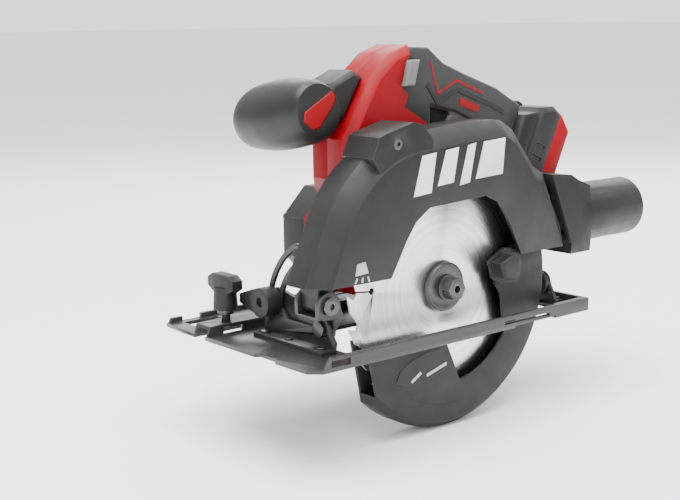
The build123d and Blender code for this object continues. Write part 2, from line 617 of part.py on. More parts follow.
SPRING_R = NOSE_R + 2.4
with BuildPart() as guard_spring:
    for index in range(2):
        with BuildSketch(Plane.XY.move(Location((0, 0, SPINDLE_Z)))) as wire:
            with Locations((SPRING_R, LOWER_BACK - 0.8 - 1.7 * index)):
                Circle(0.8)
        revolve(wire.sketch, Axis((0, 0, SPINDLE_Z), (0, 1, 0)), 330)
guard_spring.part.label = "guard_spring"
export_step(guard_spring.part, "parts/guard_spring.step")

# ---------------------------------------------------------------- upper guard
GUARD_REAR_TOP = (-92.0, 95.0)
GUARD_REAR_LOW = (-113.5, GUARD_BOTTOM)


def guard_outline(inset, bottom):
    """Outer profile of the upper guard, moved inwards by inset, and closed at the given height."""
    with BuildSketch(side(0)) as outline:
        with BuildLine():
            Polyline((-60, 127.5), (-81, 101.5), GUARD_REAR_TOP, GUARD_REAR_LOW, (-114, -40), (135, -40),
                     (126, 30), (118, GUARD_BOTTOM), (104, 75))
            ThreePointArc((104, 75), (77, 113.5), (24, 131.5))
            ThreePointArc((24, 131.5), (-15, 135), (-48, 134.6))
            Line((-48, 134.6), (-60, 127.5))
        make_face()
        if inset > 0:
            offset(amount=-inset, kind=Kind.INTERSECTION)
        with BuildLine():
            Polyline((-300, bottom), (300, bottom), (300, -200), (-300, -200), close=True)
        make_face(mode=Mode.SUBTRACT)
    return outline.sketch


LUG_R = 5.8
LUG_TOP = 50.0
with BuildPart() as upper_guard:
    shell = guard_outline(0, GUARD_BOTTOM)
    extrude(shell.moved(Location((0, GUARD_FACE - GUARD_BEVEL, 0))),
            amount=GUARD_FACE - GUARD_BEVEL - GUARD_BACK)
    loft_low = guard_outline(0, GUARD_BOTTOM).moved(Location((0, GUARD_FACE - GUARD_BEVEL, 0)))
    loft_high = guard_outline(GUARD_BEVEL, GUARD_BOTTOM).moved(Location((0, GUARD_FACE, 0)))
    loft([loft_low.faces()[0], loft_high.faces()[0]], ruled=True)
    # The raised block over the front of the guard.
    hump = [(60, 100), (72, 119), (66.5, 131.5), (61, 133.5), (39, 139), (32, 137.5), (22, 128), (22, 108)]
    slab_y(hump, GUARD_BACK, GUARD_FACE - 1)
    # The room for the blade and the lower guard.
    room_low = guard_outline(GUARD_WALL, -40).moved(Location((0, GUARD_FACE - GUARD_BEVEL, 0)))
    room_high = guard_outline(GUARD_BEVEL + GUARD_WALL, -40).moved(Location((0, GUARD_FACE - GUARD_WALL, 0)))
    extrude(room_low, amount=GUARD_FACE - GUARD_BEVEL - GUARD_BACK - GUARD_WALL, mode=Mode.SUBTRACT)
    loft([room_low.faces()[0], room_high.faces()[0]], ruled=True, mode=Mode.SUBTRACT)
    # The window that shows the blade.
    window = [(60, GUARD_BOTTOM - 2), (46, 66), (38, 77), (26, 85), (-25, 87.5), (-37.5, 81.5),
              (-45, 71), (-60, GUARD_BOTTOM - 2)]
    slab_y(window, GUARD_FACE - GUARD_WALL - 1, GUARD_FACE + 1, Mode.SUBTRACT)
    # Openings for the gearbox nose and the dust.
    disc_y(0, SPINDLE_Z, NOSE_R + 5, GUARD_BACK - 1, GUARD_BACK + GUARD_WALL + 1, Mode.SUBTRACT)
    block(-24.9, 24.9, GUARD_BACK - 1, GUARD_BACK + GUARD_WALL + 1, 0, SPINDLE_Z + 4, Mode.SUBTRACT)
    block(-125, -96, GUARD_BACK + 3, 9, 50, 84, Mode.SUBTRACT)
    # The lug that hangs on the depth pivot, and the boss of the depth bolt.
    lug = [(DEPTH_X - LUG_R, DEPTH_Z), (DEPTH_X - LUG_R, LUG_TOP), (DEPTH_X + LUG_R, LUG_TOP),
           (DEPTH_X + LUG_R, DEPTH_Z)]
    slab_y(lug, EAR_RIGHT + 3.4, EAR_LEFT - 3.4)
    disc_y(DEPTH_X, DEPTH_Z, LUG_R, EAR_RIGHT + 3.4, EAR_LEFT - 3.4)
    disc_y(DEPTH_X, DEPTH_Z, BOLT_R + FIT, EAR_RIGHT, EAR_LEFT, Mode.SUBTRACT)
    boss = [(DEPTH_BOLT_X - 7, DEPTH_BOLT_Z), (DEPTH_BOLT_X - 7, 50), (DEPTH_BOLT_X + 7, 50),
            (DEPTH_BOLT_X + 7, DEPTH_BOLT_Z)]
    slab_y(boss, GUARD_BACK, GUARD_BACK + GUARD_WALL)
    disc_y(DEPTH_BOLT_X, DEPTH_BOLT_Z, 7, GUIDE_LEFT + RUN_GAP, GUARD_BACK + GUARD_WALL)
    disc_y(DEPTH_BOLT_X, DEPTH_BOLT_Z, BOLT_R, -20, 0, Mode.SUBTRACT)
    disc_y(GUARD_SCREW_X, GUARD_SCREW_Z, GUARD_SCREW_R, 8, GUARD_FACE, Mode.SUBTRACT)
    disc_y(GUARD_SCREW_X, GUARD_SCREW_Z, GUARD_HEAD_R + 0.2, GUARD_FACE - 4, GUARD_FACE, Mode.SUBTRACT)
upper_guard.part.label = "upper_guard"
export_step(upper_guard.part, "parts/upper_guard.step")

with BuildPart() as guard_screw:
    disc_y(GUARD_SCREW_X, GUARD_SCREW_Z, GUARD_HEAD_R, GUARD_FACE - 4, GUARD_FACE - 1.4)
    disc_y(GUARD_SCREW_X, GUARD_SCREW_Z, GUARD_SCREW_R, 8, GUARD_FACE - 4)
    hex_y(GUARD_SCREW_X, GUARD_SCREW_Z, 3.0, GUARD_FACE - 3, GUARD_FACE - 1.4, Mode.SUBTRACT)
guard_screw.part.label = "guard_screw"
export_step(guard_screw.part, "parts/guard_screw.step")

LIGHT_X = 95.6
with BuildPart() as light_housing:
    slab_y([(LIGHT_X - 2.8, LUG_TOP), (104, LUG_TOP), (103, LUG_TOP + 10), (LIGHT_X, LUG_TOP + 10)], -5, 5)
    disc_z(LIGHT_X, 0, 2.2, LUG_TOP - 1, LUG_TOP + 3, Mode.SUBTRACT)
light_housing.part.label = "light_housing"
export_step(light_housing.part, "parts/light_housing.step")

with BuildPart() as light_lens:
    disc_z(LIGHT_X, 0, 2.2, LUG_TOP - 0.6, LUG_TOP + 3)
light_lens.part.label = "light_lens"
export_step(light_lens.part, "parts/light_lens.step")

# ---------------------------------------------------------------- dust port
with BuildPart() as dust_port:
    neck = [GUARD_REAR_TOP, (-112, 93), (-119, 89), (DUST_NECK + 1, 84), (DUST_NECK - 1, DUST_Z + 10),
            (DUST_NECK - 1, 44), (DUST_NECK, 37), (-112, 37), GUARD_REAR_LOW]
    slab_y(neck, GUARD_BACK, GUARD_FACE - 2)
    disc_x(DUST_Y, DUST_Z, DUST_R, DUST_END, DUST_NECK)
    with BuildSketch(Plane.YZ.offset(-116)) as flare_front:
        with Locations((0, DUST_Z)):
            Rectangle(24, 34)
    with BuildSketch(Plane.YZ.offset(DUST_NECK)) as flare_back:
        with Locations((DUST_Y, DUST_Z)):
            Circle(DUST_R)
    loft([flare_front.sketch.faces()[0], flare_back.sketch.faces()[0]])
    disc_x(DUST_Y, DUST_Z, DUST_R - DUST_WALL, DUST_END, DUST_NECK + 3, Mode.SUBTRACT)
    block(DUST_NECK - 1, -90, GUARD_BACK + 3, 9, 50, 80, Mode.SUBTRACT)
dust_port.part.label = "dust_port"
export_step(dust_port.part, "parts/dust_port.step")

# ---------------------------------------------------------------- shoe
with BuildPart() as shoe_plate:
    outline = [(SHOE_FRONT, SHOE_LEFT - 7), (SHOE_FRONT - 7, SHOE_LEFT), (SHOE_REAR, SHOE_LEFT),
               (SHOE_REAR, SHOE_RIGHT), (SHOE_FRONT - 2, SHOE_RIGHT), (SHOE_FRONT, SHOE_RIGHT + 24),
               (SHOE_FRONT, -26), (SHOE_FRONT - 3, -24), (SHOE_FRONT - 3, -7), (SHOE_FRONT, -5)]
    slab_z(outline, 0, SHOE_T)
    # Left rail, right rim, rear rim and the raised channel that carries the fence.
    left_rail = [(SHOE_FRONT - 7, 0), (SHOE_FRONT - 14, RAIL_TOP), (SHOE_REAR, RAIL_TOP), (SHOE_REAR, 0)]
    slab_y(left_rail, SHOE_LEFT - RAIL_T, SHOE_LEFT)
    right_rim = [(SHOE_FRONT - 2, 0), (SHOE_FRONT - 5, RIGHT_RIM_TOP), (SHOE_REAR, RIGHT_RIM_TOP),
                 (SHOE_REAR, 0)]
    slab_y(right_rim, SHOE_RIGHT, SHOE_RIGHT + RAIL_T)
    block(SHOE_REAR, SHOE_REAR + RAIL_T, SHOE_RIGHT, SHOE_LEFT, 0, RAIL_TOP)
    block(SHOE_REAR, SHOE_REAR + 32, SHOE_LEFT - 5, SHOE_LEFT, 0, RAIL_TOP)
    channel = [(SHOE_FRONT, 0), (SHOE_FRONT - 3, RAIL_TOP), (SHOE_REAR, RAIL_TOP), (SHOE_REAR, 0)]
    slab_y(channel, HAT_RIGHT, HAT_LEFT)
    block(SHOE_REAR - 1, SHOE_FRONT + 1, HAT_RIGHT + HAT_T, HAT_LEFT - HAT_T, -1, RAIL_TOP - HAT_T,
          Mode.SUBTRACT)
    # The blade opening, the opening beside the channel and the fence slots.
    block(SLOT_REAR, SLOT_FRONT, SLOT_RIGHT, SLOT_LEFT, -1, SHOE_T + 1, Mode.SUBTRACT)
    block(FENCE_X - 17, FENCE_X + 9, SHOE_RIGHT + 6, HAT_RIGHT - 5, -1, SHOE_T + 1, Mode.SUBTRACT)
    block(-70, 60, SHOE_RIGHT + 9, HAT_RIGHT - 7, -1, SHOE_T + 1, Mode.SUBTRACT)
    block(FENCE_X - FENCE_W / 2, FENCE_X + FENCE_W / 2, SHOE_RIGHT - 1, SHOE_LEFT + 1, FENCE_Z,
          FENCE_Z + FENCE_H, Mode.SUBTRACT)
    # The rail is cut away beside the rear of the blade.
    block(-76, -36, SHOE_LEFT - RAIL_T - 1, SHOE_LEFT + 1, -1, 5, Mode.SUBTRACT)
    block(-36, -26, SHOE_LEFT - RAIL_T - 1, SHOE_LEFT + 1, 3.5, 6.0, Mode.SUBTRACT)
    disc_y(-73, 4.5, 3.2, SHOE_LEFT - 3, SHOE_LEFT)
    disc_z(FENCE_X, (HAT_LEFT + HAT_RIGHT) / 2, 3.0 + FIT, 0, RAIL_TOP + 1, Mode.SUBTRACT)
shoe_plate.part.label = "shoe_plate"
export_step(shoe_plate.part, "parts/shoe_plate.step")

PANEL_LEFT = 8.0
PANEL_RIGHT = -62.0
with BuildPart() as front_bracket:
    panel_plane = Plane.YZ.offset(FRONT_PANEL_X - PLATE_T)
    tilt_axis = (TILT_Y, TILT_Z)
    slot_start = BEVEL_REST - BEVEL_RANGE
    arc_band(panel_plane, tilt_axis, QUADRANT_R, slot_start, BEVEL_RANGE, QUADRANT_HALF, PLATE_T)
    web = [(PANEL_LEFT, SHOE_T), (PANEL_LEFT + 1.5, 9), (PANEL_LEFT - 4, TILT_Z), (TILT_Y - 8, TILT_Z),
           (-38, TILT_Z), (-43, TILT_Z + 6), (PANEL_RIGHT + 3, TILT_Z + 8), (PANEL_RIGHT, TILT_Z + 3),
           (PANEL_RIGHT, SHOE_T)]
    slab_x(web, FRONT_PANEL_X - PLATE_T, FRONT_PANEL_X)
    disc_x(TILT_Y, TILT_Z, TILT_BOSS_R, FRONT_PANEL_X - PLATE_T, FRONT_PANEL_X)
    disc_x(TILT_Y, TILT_Z, TILT_PIN_R + FIT, FRONT_PANEL_X - PLATE_T, FRONT_PANEL_X, Mode.SUBTRACT)
    arc_band(panel_plane, tilt_axis, QUADRANT_R, slot_start, BEVEL_RANGE, SLOT_HALF, PLATE_T, Mode.SUBTRACT)
    block(FRONT_PANEL_X - PLATE_T, FRONT_PANEL_X + 9, PANEL_RIGHT, PANEL_LEFT, SHOE_T, SHOE_T + PLATE_T)
front_bracket.part.label = "front_bracket"
export_step(front_bracket.part, "parts/front_bracket.step")

with BuildPart() as rear_bracket:
    foot = [(-20, SHOE_T), (TILT_Y - TILT_BOSS_R, TILT_Z), (TILT_Y + TILT_BOSS_R, TILT_Z), (12, SHOE_T)]
    slab_x(foot, REAR_PANEL_X, REAR_PANEL_X + PLATE_T)
    disc_x(TILT_Y, TILT_Z, TILT_BOSS_R, REAR_PANEL_X, REAR_PANEL_X + PLATE_T)
    disc_x(TILT_Y, TILT_Z, TILT_PIN_R + FIT, REAR_PANEL_X, REAR_PANEL_X + PLATE_T, Mode.SUBTRACT)
    block(SHOE_REAR + RAIL_T, REAR_PANEL_X + PLATE_T, -20, 12, SHOE_T, SHOE_T + PLATE_T)
rear_bracket.part.label = "rear_bracket"
export_step(rear_bracket.part, "parts/rear_bracket.step")

with BuildPart() as bracket_rivets:
    for rivet_y in (-55, -30, 2):
        disc_z(FRONT_PANEL_X + 4.5, rivet_y, 2.6, SHOE_T + PLATE_T, SHOE_T + PLATE_T + 1.4)
    for rivet_y in (-16, 8):
        disc_z((SHOE_REAR + RAIL_T + REAR_PANEL_X) / 2, rivet_y, 2.0, SHOE_T + PLATE_T,
               SHOE_T + PLATE_T + 1.4)
bracket_rivets.part.label = "bracket_rivets"
export_step(bracket_rivets.part, "parts/bracket_rivets.step")

# Fence clamp: a wing knob on a screw through the channel.
CLAMP_Y = (HAT_LEFT + HAT_RIGHT) / 2
with BuildPart() as fence_clamp_screw:
    disc_z(FENCE_X, CLAMP_Y, 3.0, RAIL_TOP - HAT_T, 17)
    disc_z(FENCE_X, CLAMP_Y, 5.5, 14, 17)
fence_clamp_screw.part.label = "fence_clamp_screw"
export_step(fence_clamp_screw.part, "parts/fence_clamp_screw.step")

with BuildPart() as fence_clamp_knob:
    with BuildSketch(Plane.XY.offset(17)) as base:
        with Locations((FENCE_X, CLAMP_Y)):
            Circle(8.2)
    extrude(base.sketch, amount=14, taper=3)
    wing = [(CLAMP_Y - 14, 31.5), (CLAMP_Y - 14, 37), (CLAMP_Y - 9, 40), (CLAMP_Y + 9, 40),
            (CLAMP_Y + 14, 37), (CLAMP_Y + 14, 31.5), (CLAMP_Y + 8, 28), (CLAMP_Y - 8, 28)]
    slab_x(wing, FENCE_X - 4, FENCE_X + 4)
fence_clamp_knob.part.label = "fence_clamp_knob"
export_step(fence_clamp_knob.part, "parts/fence_clamp_knob.step")

# ---------------------------------------------------------------- bevel frame
FRONT_TILT_X = FRONT_PANEL_X - PLATE_T - RUN_GAP
REAR_TILT_X = REAR_PANEL_X + PLATE_T + RUN_GAP
EAR_BASE = TILT_Z + TILT_BOSS_R + 1.0
with BuildPart() as front_tilt_bracket:
    with BuildSketch(Plane.YZ.offset(FRONT_TILT_X - PLATE_T)) as plate:
        with Locations((TILT_Y, TILT_Z)):
            Circle(TILT_BOSS_R)
        with Locations((BEVEL_BOLT_Y, BEVEL_BOLT_Z)):
            Circle(8)
        make_hull()
        with BuildLine():
            Polyline((EAR_RIGHT, TILT_Z), (EAR_RIGHT, EAR_BASE + PLATE_T), (EAR_LEFT, EAR_BASE + PLATE_T),
                     (EAR_LEFT, EAR_BASE - 2), (TILT_Y + TILT_BOSS_R, TILT_Z), close=True)
        make_face()
        with Locations((TILT_Y, TILT_Z)):
            Circle(TILT_PIN_R, mode=Mode.SUBTRACT)
        with Locations((BEVEL_BOLT_Y, BEVEL_BOLT_Z)):
            Circle(BOLT_R, mode=Mode.SUBTRACT)
    extrude(plate.sketch, amount=PLATE_T)
    block(FRONT_TILT_X - PLATE_T, DEPTH_X + EAR_R, EAR_RIGHT, EAR_LEFT, EAR_BASE, EAR_BASE + PLATE_T * 0.6)
    for ear_y in (EAR_RIGHT, EAR_LEFT - 3):
        ear = [(FRONT_TILT_X - PLATE_T, EAR_BASE), (DEPTH_X + EAR_R, EAR_BASE), (DEPTH_X + EAR_R, DEPTH_Z),
               (DEPTH_X - EAR_R, DEPTH_Z)]
        slab_y(ear, ear_y, ear_y + 3)
        disc_y(DEPTH_X, DEPTH_Z, EAR_R, ear_y, ear_y + 3)
    disc_y(DEPTH_X, DEPTH_Z, BOLT_R, EAR_RIGHT - 1, EAR_LEFT + 1, Mode.SUBTRACT)
front_tilt_bracket.part.label = "front_tilt_bracket"
export_step(front_tilt_bracket.part, "parts/front_tilt_bracket.step")

with BuildPart() as rear_tilt_bracket:
    tail = [(GUIDE_LEFT - PLATE_T, 8), (GUIDE_LEFT - PLATE_T, TILT_Z + TILT_BOSS_R),
            (TILT_Y, TILT_Z + TILT_BOSS_R), (TILT_Y, 8)]
    slab_x(tail, REAR_TILT_X, REAR_TILT_X + PLATE_T)
    disc_x(TILT_Y, TILT_Z, TILT_BOSS_R, REAR_TILT_X, REAR_TILT_X + PLATE_T)
    disc_x(TILT_Y, TILT_Z, TILT_PIN_R, REAR_TILT_X, REAR_TILT_X + PLATE_T, Mode.SUBTRACT)
    strut = [(REAR_TILT_X, 8), (REAR_TILT_X, TILT_Z + TILT_BOSS_R), (-60, 34), (-46, 34), (-44, 22),
             (-60, 12)]
    slab_y(strut, GUIDE_LEFT - PLATE_T, GUIDE_LEFT)
    depth_axis = (DEPTH_X, DEPTH_Z)
    slot_start = 180 - GUIDE_REST - DEPTH_RANGE
    arc_band(side(GUIDE_LEFT), depth_axis, GUIDE_R, slot_start, DEPTH_RANGE + 3, GUIDE_HALF, PLATE_T)
    arc_band(side(GUIDE_LEFT), depth_axis, GUIDE_R, slot_start, DEPTH_RANGE, SLOT_HALF, PLATE_T,
             Mode.SUBTRACT)
rear_tilt_bracket.part.label = "rear_tilt_bracket"
export_step(rear_tilt_bracket.part, "parts/rear_tilt_bracket.step")

with BuildPart() as tilt_pins:
    disc_x(TILT_Y, TILT_Z, TILT_PIN_R, FRONT_TILT_X - PLATE_T, FRONT_PANEL_X + RUN_GAP)
    disc_x(TILT_Y, TILT_Z, 5, FRONT_PANEL_X + RUN_GAP, FRONT_PANEL_X + 2.4)
    disc_x(TILT_Y, TILT_Z, TILT_PIN_R, REAR_PANEL_X - RUN_GAP, REAR_TILT_X + PLATE_T)
    disc_x(TILT_Y, TILT_Z, 5, REAR_PANEL_X - 2.4, REAR_PANEL_X - RUN_GAP)
tilt_pins.part.label = "tilt_pins"
export_step(tilt_pins.part, "parts/tilt_pins.step")

with BuildPart() as bevel_bolt:
    disc_x(BEVEL_BOLT_Y, BEVEL_BOLT_Z, BOLT_R, FRONT_TILT_X - PLATE_T, FRONT_PANEL_X + 9)
    disc_x(BEVEL_BOLT_Y, BEVEL_BOLT_Z, 5.5, FRONT_TILT_X - PLATE_T - 3, FRONT_TILT_X - PLATE_T)
bevel_bolt.part.label = "bevel_bolt"
export_step(bevel_bolt.part, "parts/bevel_bolt.step")

LEVER_HUB_R = 9.5
with BuildPart() as bevel_lock_lever:
    hub_low = FRONT_PANEL_X + RUN_GAP
    disc_x(BEVEL_BOLT_Y, BEVEL_BOLT_Z, LEVER_HUB_R, hub_low, hub_low + 11)
    arm = [(BEVEL_BOLT_Y, BEVEL_BOLT_Z + 9), (BEVEL_BOLT_Y - 10, BEVEL_BOLT_Z + 7),
           (BEVEL_BOLT_Y - 25, BEVEL_BOLT_Z + 2), (BEVEL_BOLT_Y - 25.5, BEVEL_BOLT_Z - 4),
           (BEVEL_BOLT_Y - 8, BEVEL_BOLT_Z - 9), (BEVEL_BOLT_Y, BEVEL_BOLT_Z - 9)]
    slab_x(arm, hub_low + 1, FENCE_X - 4.6)
    disc_x(BEVEL_BOLT_Y, BEVEL_BOLT_Z, BOLT_R + FIT, hub_low - 1, hub_low + 12, Mode.SUBTRACT)
bevel_lock_lever.part.label = "bevel_lock_lever"
export_step(bevel_lock_lever.part, "parts/bevel_lock_lever.step")

with BuildPart() as depth_pivot_screw:
    disc_y(DEPTH_X, DEPTH_Z, BOLT_R, EAR_RIGHT, EAR_LEFT)
    disc_y(DEPTH_X, DEPTH_Z, 5.4, EAR_LEFT, EAR_LEFT + 2.6)
    hex_y(DEPTH_X, DEPTH_Z, 4, EAR_LEFT + 0.8, EAR_LEFT + 2.6, Mode.SUBTRACT)
depth_pivot_screw.part.label = "depth_pivot_screw"
export_step(depth_pivot_screw.part, "parts/depth_pivot_screw.step")

# ---------------------------------------------------------------- depth lock
DEPTH_HUB_LEFT = GUIDE_LEFT - PLATE_T - RUN_GAP
with BuildPart() as depth_bolt:
    disc_y(DEPTH_BOLT_X, DEPTH_BOLT_Z, BOLT_R, DEPTH_HUB_LEFT - 11, GUARD_BACK + GUARD_WALL)
    disc_y(DEPTH_BOLT_X, DEPTH_BOLT_Z, 5.5, GUARD_BACK + GUARD_WALL, GUARD_BACK + GUARD_WALL + 1.6)
depth_bolt.part.label = "depth_bolt"
export_step(depth_bolt.part, "parts/depth_bolt.step")

with BuildPart() as depth_lock_lever:
    disc_y(DEPTH_BOLT_X, DEPTH_BOLT_Z, 9, DEPTH_HUB_LEFT - 9, DEPTH_HUB_LEFT)
    reach = [(DEPTH_BOLT_X - 2, DEPTH_BOLT_Z + 8), (DEPTH_BOLT_X - 38, 31), (DEPTH_BOLT_X - 44, 25),
             (DEPTH_BOLT_X - 40, 20), (DEPTH_BOLT_X, DEPTH_BOLT_Z - 9)]
    slab_y(reach, DEPTH_HUB_LEFT - 9, DEPTH_HUB_LEFT - 2)
    disc_y(DEPTH_BOLT_X, DEPTH_BOLT_Z, BOLT_R + FIT, DEPTH_HUB_LEFT - 12, DEPTH_HUB_LEFT + 1, Mode.SUBTRACT)
depth_lock_lever.part.label = "depth_lock_lever"
export_step(depth_lock_lever.part, "parts/depth_lock_lever.step")

# ---------------------------------------------------------------- handle shells
SLIDE_X = -math.sin(PACK_TILT)
SLIDE_Z = math.cos(PACK_TILT)


def foot_point(along, out):
    """A point on the battery foot: along the slide from its top corner, and out of the foot."""
    return (FOOT_TOP_X + along * SLIDE_X - out * SLIDE_Z, FOOT_TOP_Z + along * SLIDE_Z + out * SLIDE_X)


FOOT_LENGTH = 86.0
COLUMN_EDGE = 5.0
column = [(50, 84), (61, 101), (61, 127), (37, 166.5), (21, 179.5), (5, 185), (8.5, 176), (15.2, 159),
          (9, 153), (12, 145), (-9, 133), (-14, 127), (-14, 84)]
grip = [(14, 178), (4, 183.4), (-12, 182.8), (-26, 172.3), (-44, 165.2), (-77, 153.5), (-101, 140.5),
        (-98, 112), (-87, 111), (-78, 117), (-55, 131.5), (-37, 139), (-14, 145), (-14, 128), (14, 141)]
bridge = [(12, 58), (12, 88), (-16, 88), (-72, 86), (-84, 100), (-98, 110), foot_point(-44, 0),
          foot_point(-FOOT_LENGTH, 0), (-50, 54)]
foot = [foot_point(0, 0), foot_point(-FOOT_LENGTH, 0), foot_point(-FOOT_LENGTH, -FOOT_THICK),
        foot_point(-8, -FOOT_THICK)]


def column_of(inset):
    """The upright column; the bevels of its front keep the wall's thickness."""
    with BuildPart() as upright:
        half = COLUMN_HALF - inset
        slab_y(grow(column, -inset), HANDLE_Y - half, HANDLE_Y + half)
        rims = upright.faces().filter_by(Axis.Y).edges()
        front = rims.filter_by(lambda edge: edge.center().X > 12 and edge.center().Z > 110)
        front = front.filter_by(lambda edge: edge.center().X > 15.2 or edge.center().Z > 180)
        chamfer(front, length=COLUMN_EDGE - inset * (2 - math.sqrt(2)))
    return upright.part


def body_of(inset):
    """The handle body, or the room inside it when inset is the wall thickness."""
    upright = column_of(inset)
    with BuildPart() as body:
        add(upright)
        half = COLUMN_HALF - inset
        slab_y(grow(bridge, -inset), HANDLE_Y - half, HANDLE_Y + half)
        half = GRIP_HALF - GRIP_SKIN - inset
        slab_y(grow(grip, -GRIP_SKIN - inset), HANDLE_Y - half, HANDLE_Y + half)
        half = PACK_HALF - inset
        slab_y(grow(foot, -inset), PACK_Y - half, PACK_Y + half)
    return body.part


shell_body = body_of(0)
shell_room = body_of(SHELL_WALL)
TRIGGER_X = -17.0
TRIGGER_Z = 149.0
TRIGGER_HALF = 6.0
TRIGGER_PIN_R = 1.6
TRIGGER_PIN_HALF = 10.0
trigger_gate = [(-13, 142), (-13, 153), (-44, 153), (-44, 130), (-20, 130)]
BUTTON_X = 8.0
BUTTON_Z = 167.0
BUTTON_HALF = 4.3
BUTTON_RISE = 8.3
BUTTON_LEAN = 2.2
button_outline = [(BUTTON_X - BUTTON_LEAN - BUTTON_HALF, BUTTON_Z + BUTTON_RISE),
                  (BUTTON_X - BUTTON_LEAN + BUTTON_HALF, BUTTON_Z + BUTTON_RISE),
                  (BUTTON_X + BUTTON_LEAN + BUTTON_HALF, BUTTON_Z - BUTTON_RISE),
                  (BUTTON_X + BUTTON_LEAN - BUTTON_HALF, BUTTON_Z - BUTTON_RISE)]
button_gate = grow(button_outline, RUN_GAP)
SHELL_SCREW_R = 1.5
SHELL_SCREW_LOW = HANDLE_Y - COLUMN_HALF
SHELL_SCREW_HIGH = HANDLE_Y + COLUMN_HALF
SHELL_SCREW_SPOTS = [(25, 160), (47, 104), (-42, 71), (-76, 80)]


def make_shell(y_low, y_high):
    """One half of the handle body, hollow, cut to sit on the motor and the gearbox."""
    with BuildPart() as half:
        add(shell_body)
        chamfer(half.faces().filter_by(Axis.Y).sort_by(Axis.Y)[-1].edges(), length=1.0)
        add(shell_room, mode=Mode.SUBTRACT)
        octagon_y(MOTOR_X, MOTOR_Z, MOTOR_BARREL_R, MOTOR_MID - 6, GEARBOX_BACK + 4.5, Mode.SUBTRACT)
        extrude(gearbox_outline(0.3), amount=1 - GEARBOX_BACK, mode=Mode.SUBTRACT)
        for screw_x, screw_z in SHELL_SCREW_SPOTS:
            disc_y(screw_x, screw_z, 3.8, SHELL_SCREW_LOW, SHELL_SCREW_HIGH)
            disc_y(screw_x, screw_z, 3.0, SHELL_SCREW_LOW - 3, SHELL_SCREW_LOW + 3, Mode.SUBTRACT)
            disc_y(screw_x, screw_z, SHELL_SCREW_R, SHELL_SCREW_LOW, SHELL_SCREW_HIGH - 2, Mode.SUBTRACT)
        slab_y(trigger_gate, HANDLE_Y - TRIGGER_HALF - RUN_GAP, HANDLE_Y + TRIGGER_HALF + RUN_GAP,
               Mode.SUBTRACT)
        disc_y(TRIGGER_X, TRIGGER_Z, TRIGGER_PIN_R + RUN_FIT, HANDLE_Y - TRIGGER_PIN_HALF - RUN_GAP,
               HANDLE_Y + TRIGGER_PIN_HALF + RUN_GAP, Mode.SUBTRACT)
        slab_y(button_gate, SHELL_SCREW_LOW - 1, SHELL_SCREW_HIGH + 1, Mode.SUBTRACT)
        block(-400, 400, y_high, 400, -400, 400, Mode.SUBTRACT)
        block(-400, 400, -400, y_low, -400, 400, Mode.SUBTRACT)
    return half.part


with BuildPart() as handle_shell_left:
    add(make_shell(HANDLE_Y, 0))
handle_shell_left.part.label = "handle_shell_left"
export_step(handle_shell_left.part, "parts/handle_shell_left.step")

with BuildPart() as handle_shell_right:
    add(make_shell(-120, HANDLE_Y))
handle_shell_right.part.label = "handle_shell_right"
export_step(handle_shell_right.part, "parts/handle_shell_right.step")

with BuildPart() as handle_grip:
    slab_y(grip, HANDLE_Y - GRIP_HALF, HANDLE_Y + GRIP_HALF)
    fillet(handle_grip.faces().filter_by(Axis.Y).edges(), radius=2.0)
    add(shell_body, mode=Mode.SUBTRACT)
    half = GRIP_HALF - GRIP_SKIN
    slab_y(grow(grip, -GRIP_SKIN), HANDLE_Y - half, HANDLE_Y + half, Mode.SUBTRACT)
    slab_y(trigger_gate, HANDLE_Y - TRIGGER_HALF - RUN_GAP, HANDLE_Y + TRIGGER_HALF + RUN_GAP, Mode.SUBTRACT)
    slab_y(button_gate, SHELL_SCREW_LOW, SHELL_SCREW_HIGH, Mode.SUBTRACT)
handle_grip.part.label = "handle_grip"
export_step(handle_grip.part, "parts/handle_grip.step")

with BuildPart() as housing_screws:
    for screw_x, screw_z in SHELL_SCREW_SPOTS:
        disc_y(screw_x, screw_z, 2.9, SHELL_SCREW_LOW + 1, SHELL_SCREW_LOW + 3)
        disc_y(screw_x, screw_z, SHELL_SCREW_R, SHELL_SCREW_LOW + 3, SHELL_SCREW_HIGH - 2)
housing_screws.part.label = "housing_screws"
export_step(housing_screws.part, "parts/housing_screws.step")

with BuildPart() as motor_screws:
    for screw_x, screw_z in MOTOR_SCREW_SPOTS:
        disc_y(screw_x, screw_z, 2 * MOTOR_SCREW_R - 0.2, MOTOR_SCREW_HEAD - 2, MOTOR_SCREW_HEAD)
        disc_y(screw_x, screw_z, MOTOR_SCREW_R, MOTOR_SCREW_HEAD, MOTOR_SCREW_END)
motor_screws.part.label = "motor_screws"
export_step(motor_screws.part, "parts/motor_screws.step")

# ---------------------------------------------------------------- trigger, lock-off and spindle lock
with BuildPart() as trigger:
    finger = [(TRIGGER_X + 3, TRIGGER_Z + 2), (TRIGGER_X - 2, TRIGGER_Z + 2.6), (-41, 147), (-42, 138),
              (-37, 129), (-31, 127.5), (-25, 131), (-20, 138), (-14.5, 142)]
    slab_y(finger, HANDLE_Y - TRIGGER_HALF, HANDLE_Y + TRIGGER_HALF)
    chamfer(trigger.faces().filter_by(Axis.Y).edges(), length=0.8)
    disc_y(TRIGGER_X, TRIGGER_Z, TRIGGER_PIN_R, HANDLE_Y - TRIGGER_PIN_HALF, HANDLE_Y + TRIGGER_PIN_HALF)
trigger.part.label = "trigger"
export_step(trigger.part, "parts/trigger.step")

BUTTON_TRAVEL = 3.0
with BuildPart() as lock_off_button:
    slab_y(button_outline, HANDLE_Y - COLUMN_HALF, HANDLE_Y + COLUMN_HALF + BUTTON_TRAVEL + 1)
    chamfer(lock_off_button.faces().filter_by(Axis.Y).edges(), length=1)
lock_off_button.part.label = "lock_off_button"
export_step(lock_off_button.part, "parts/lock_off_button.step")

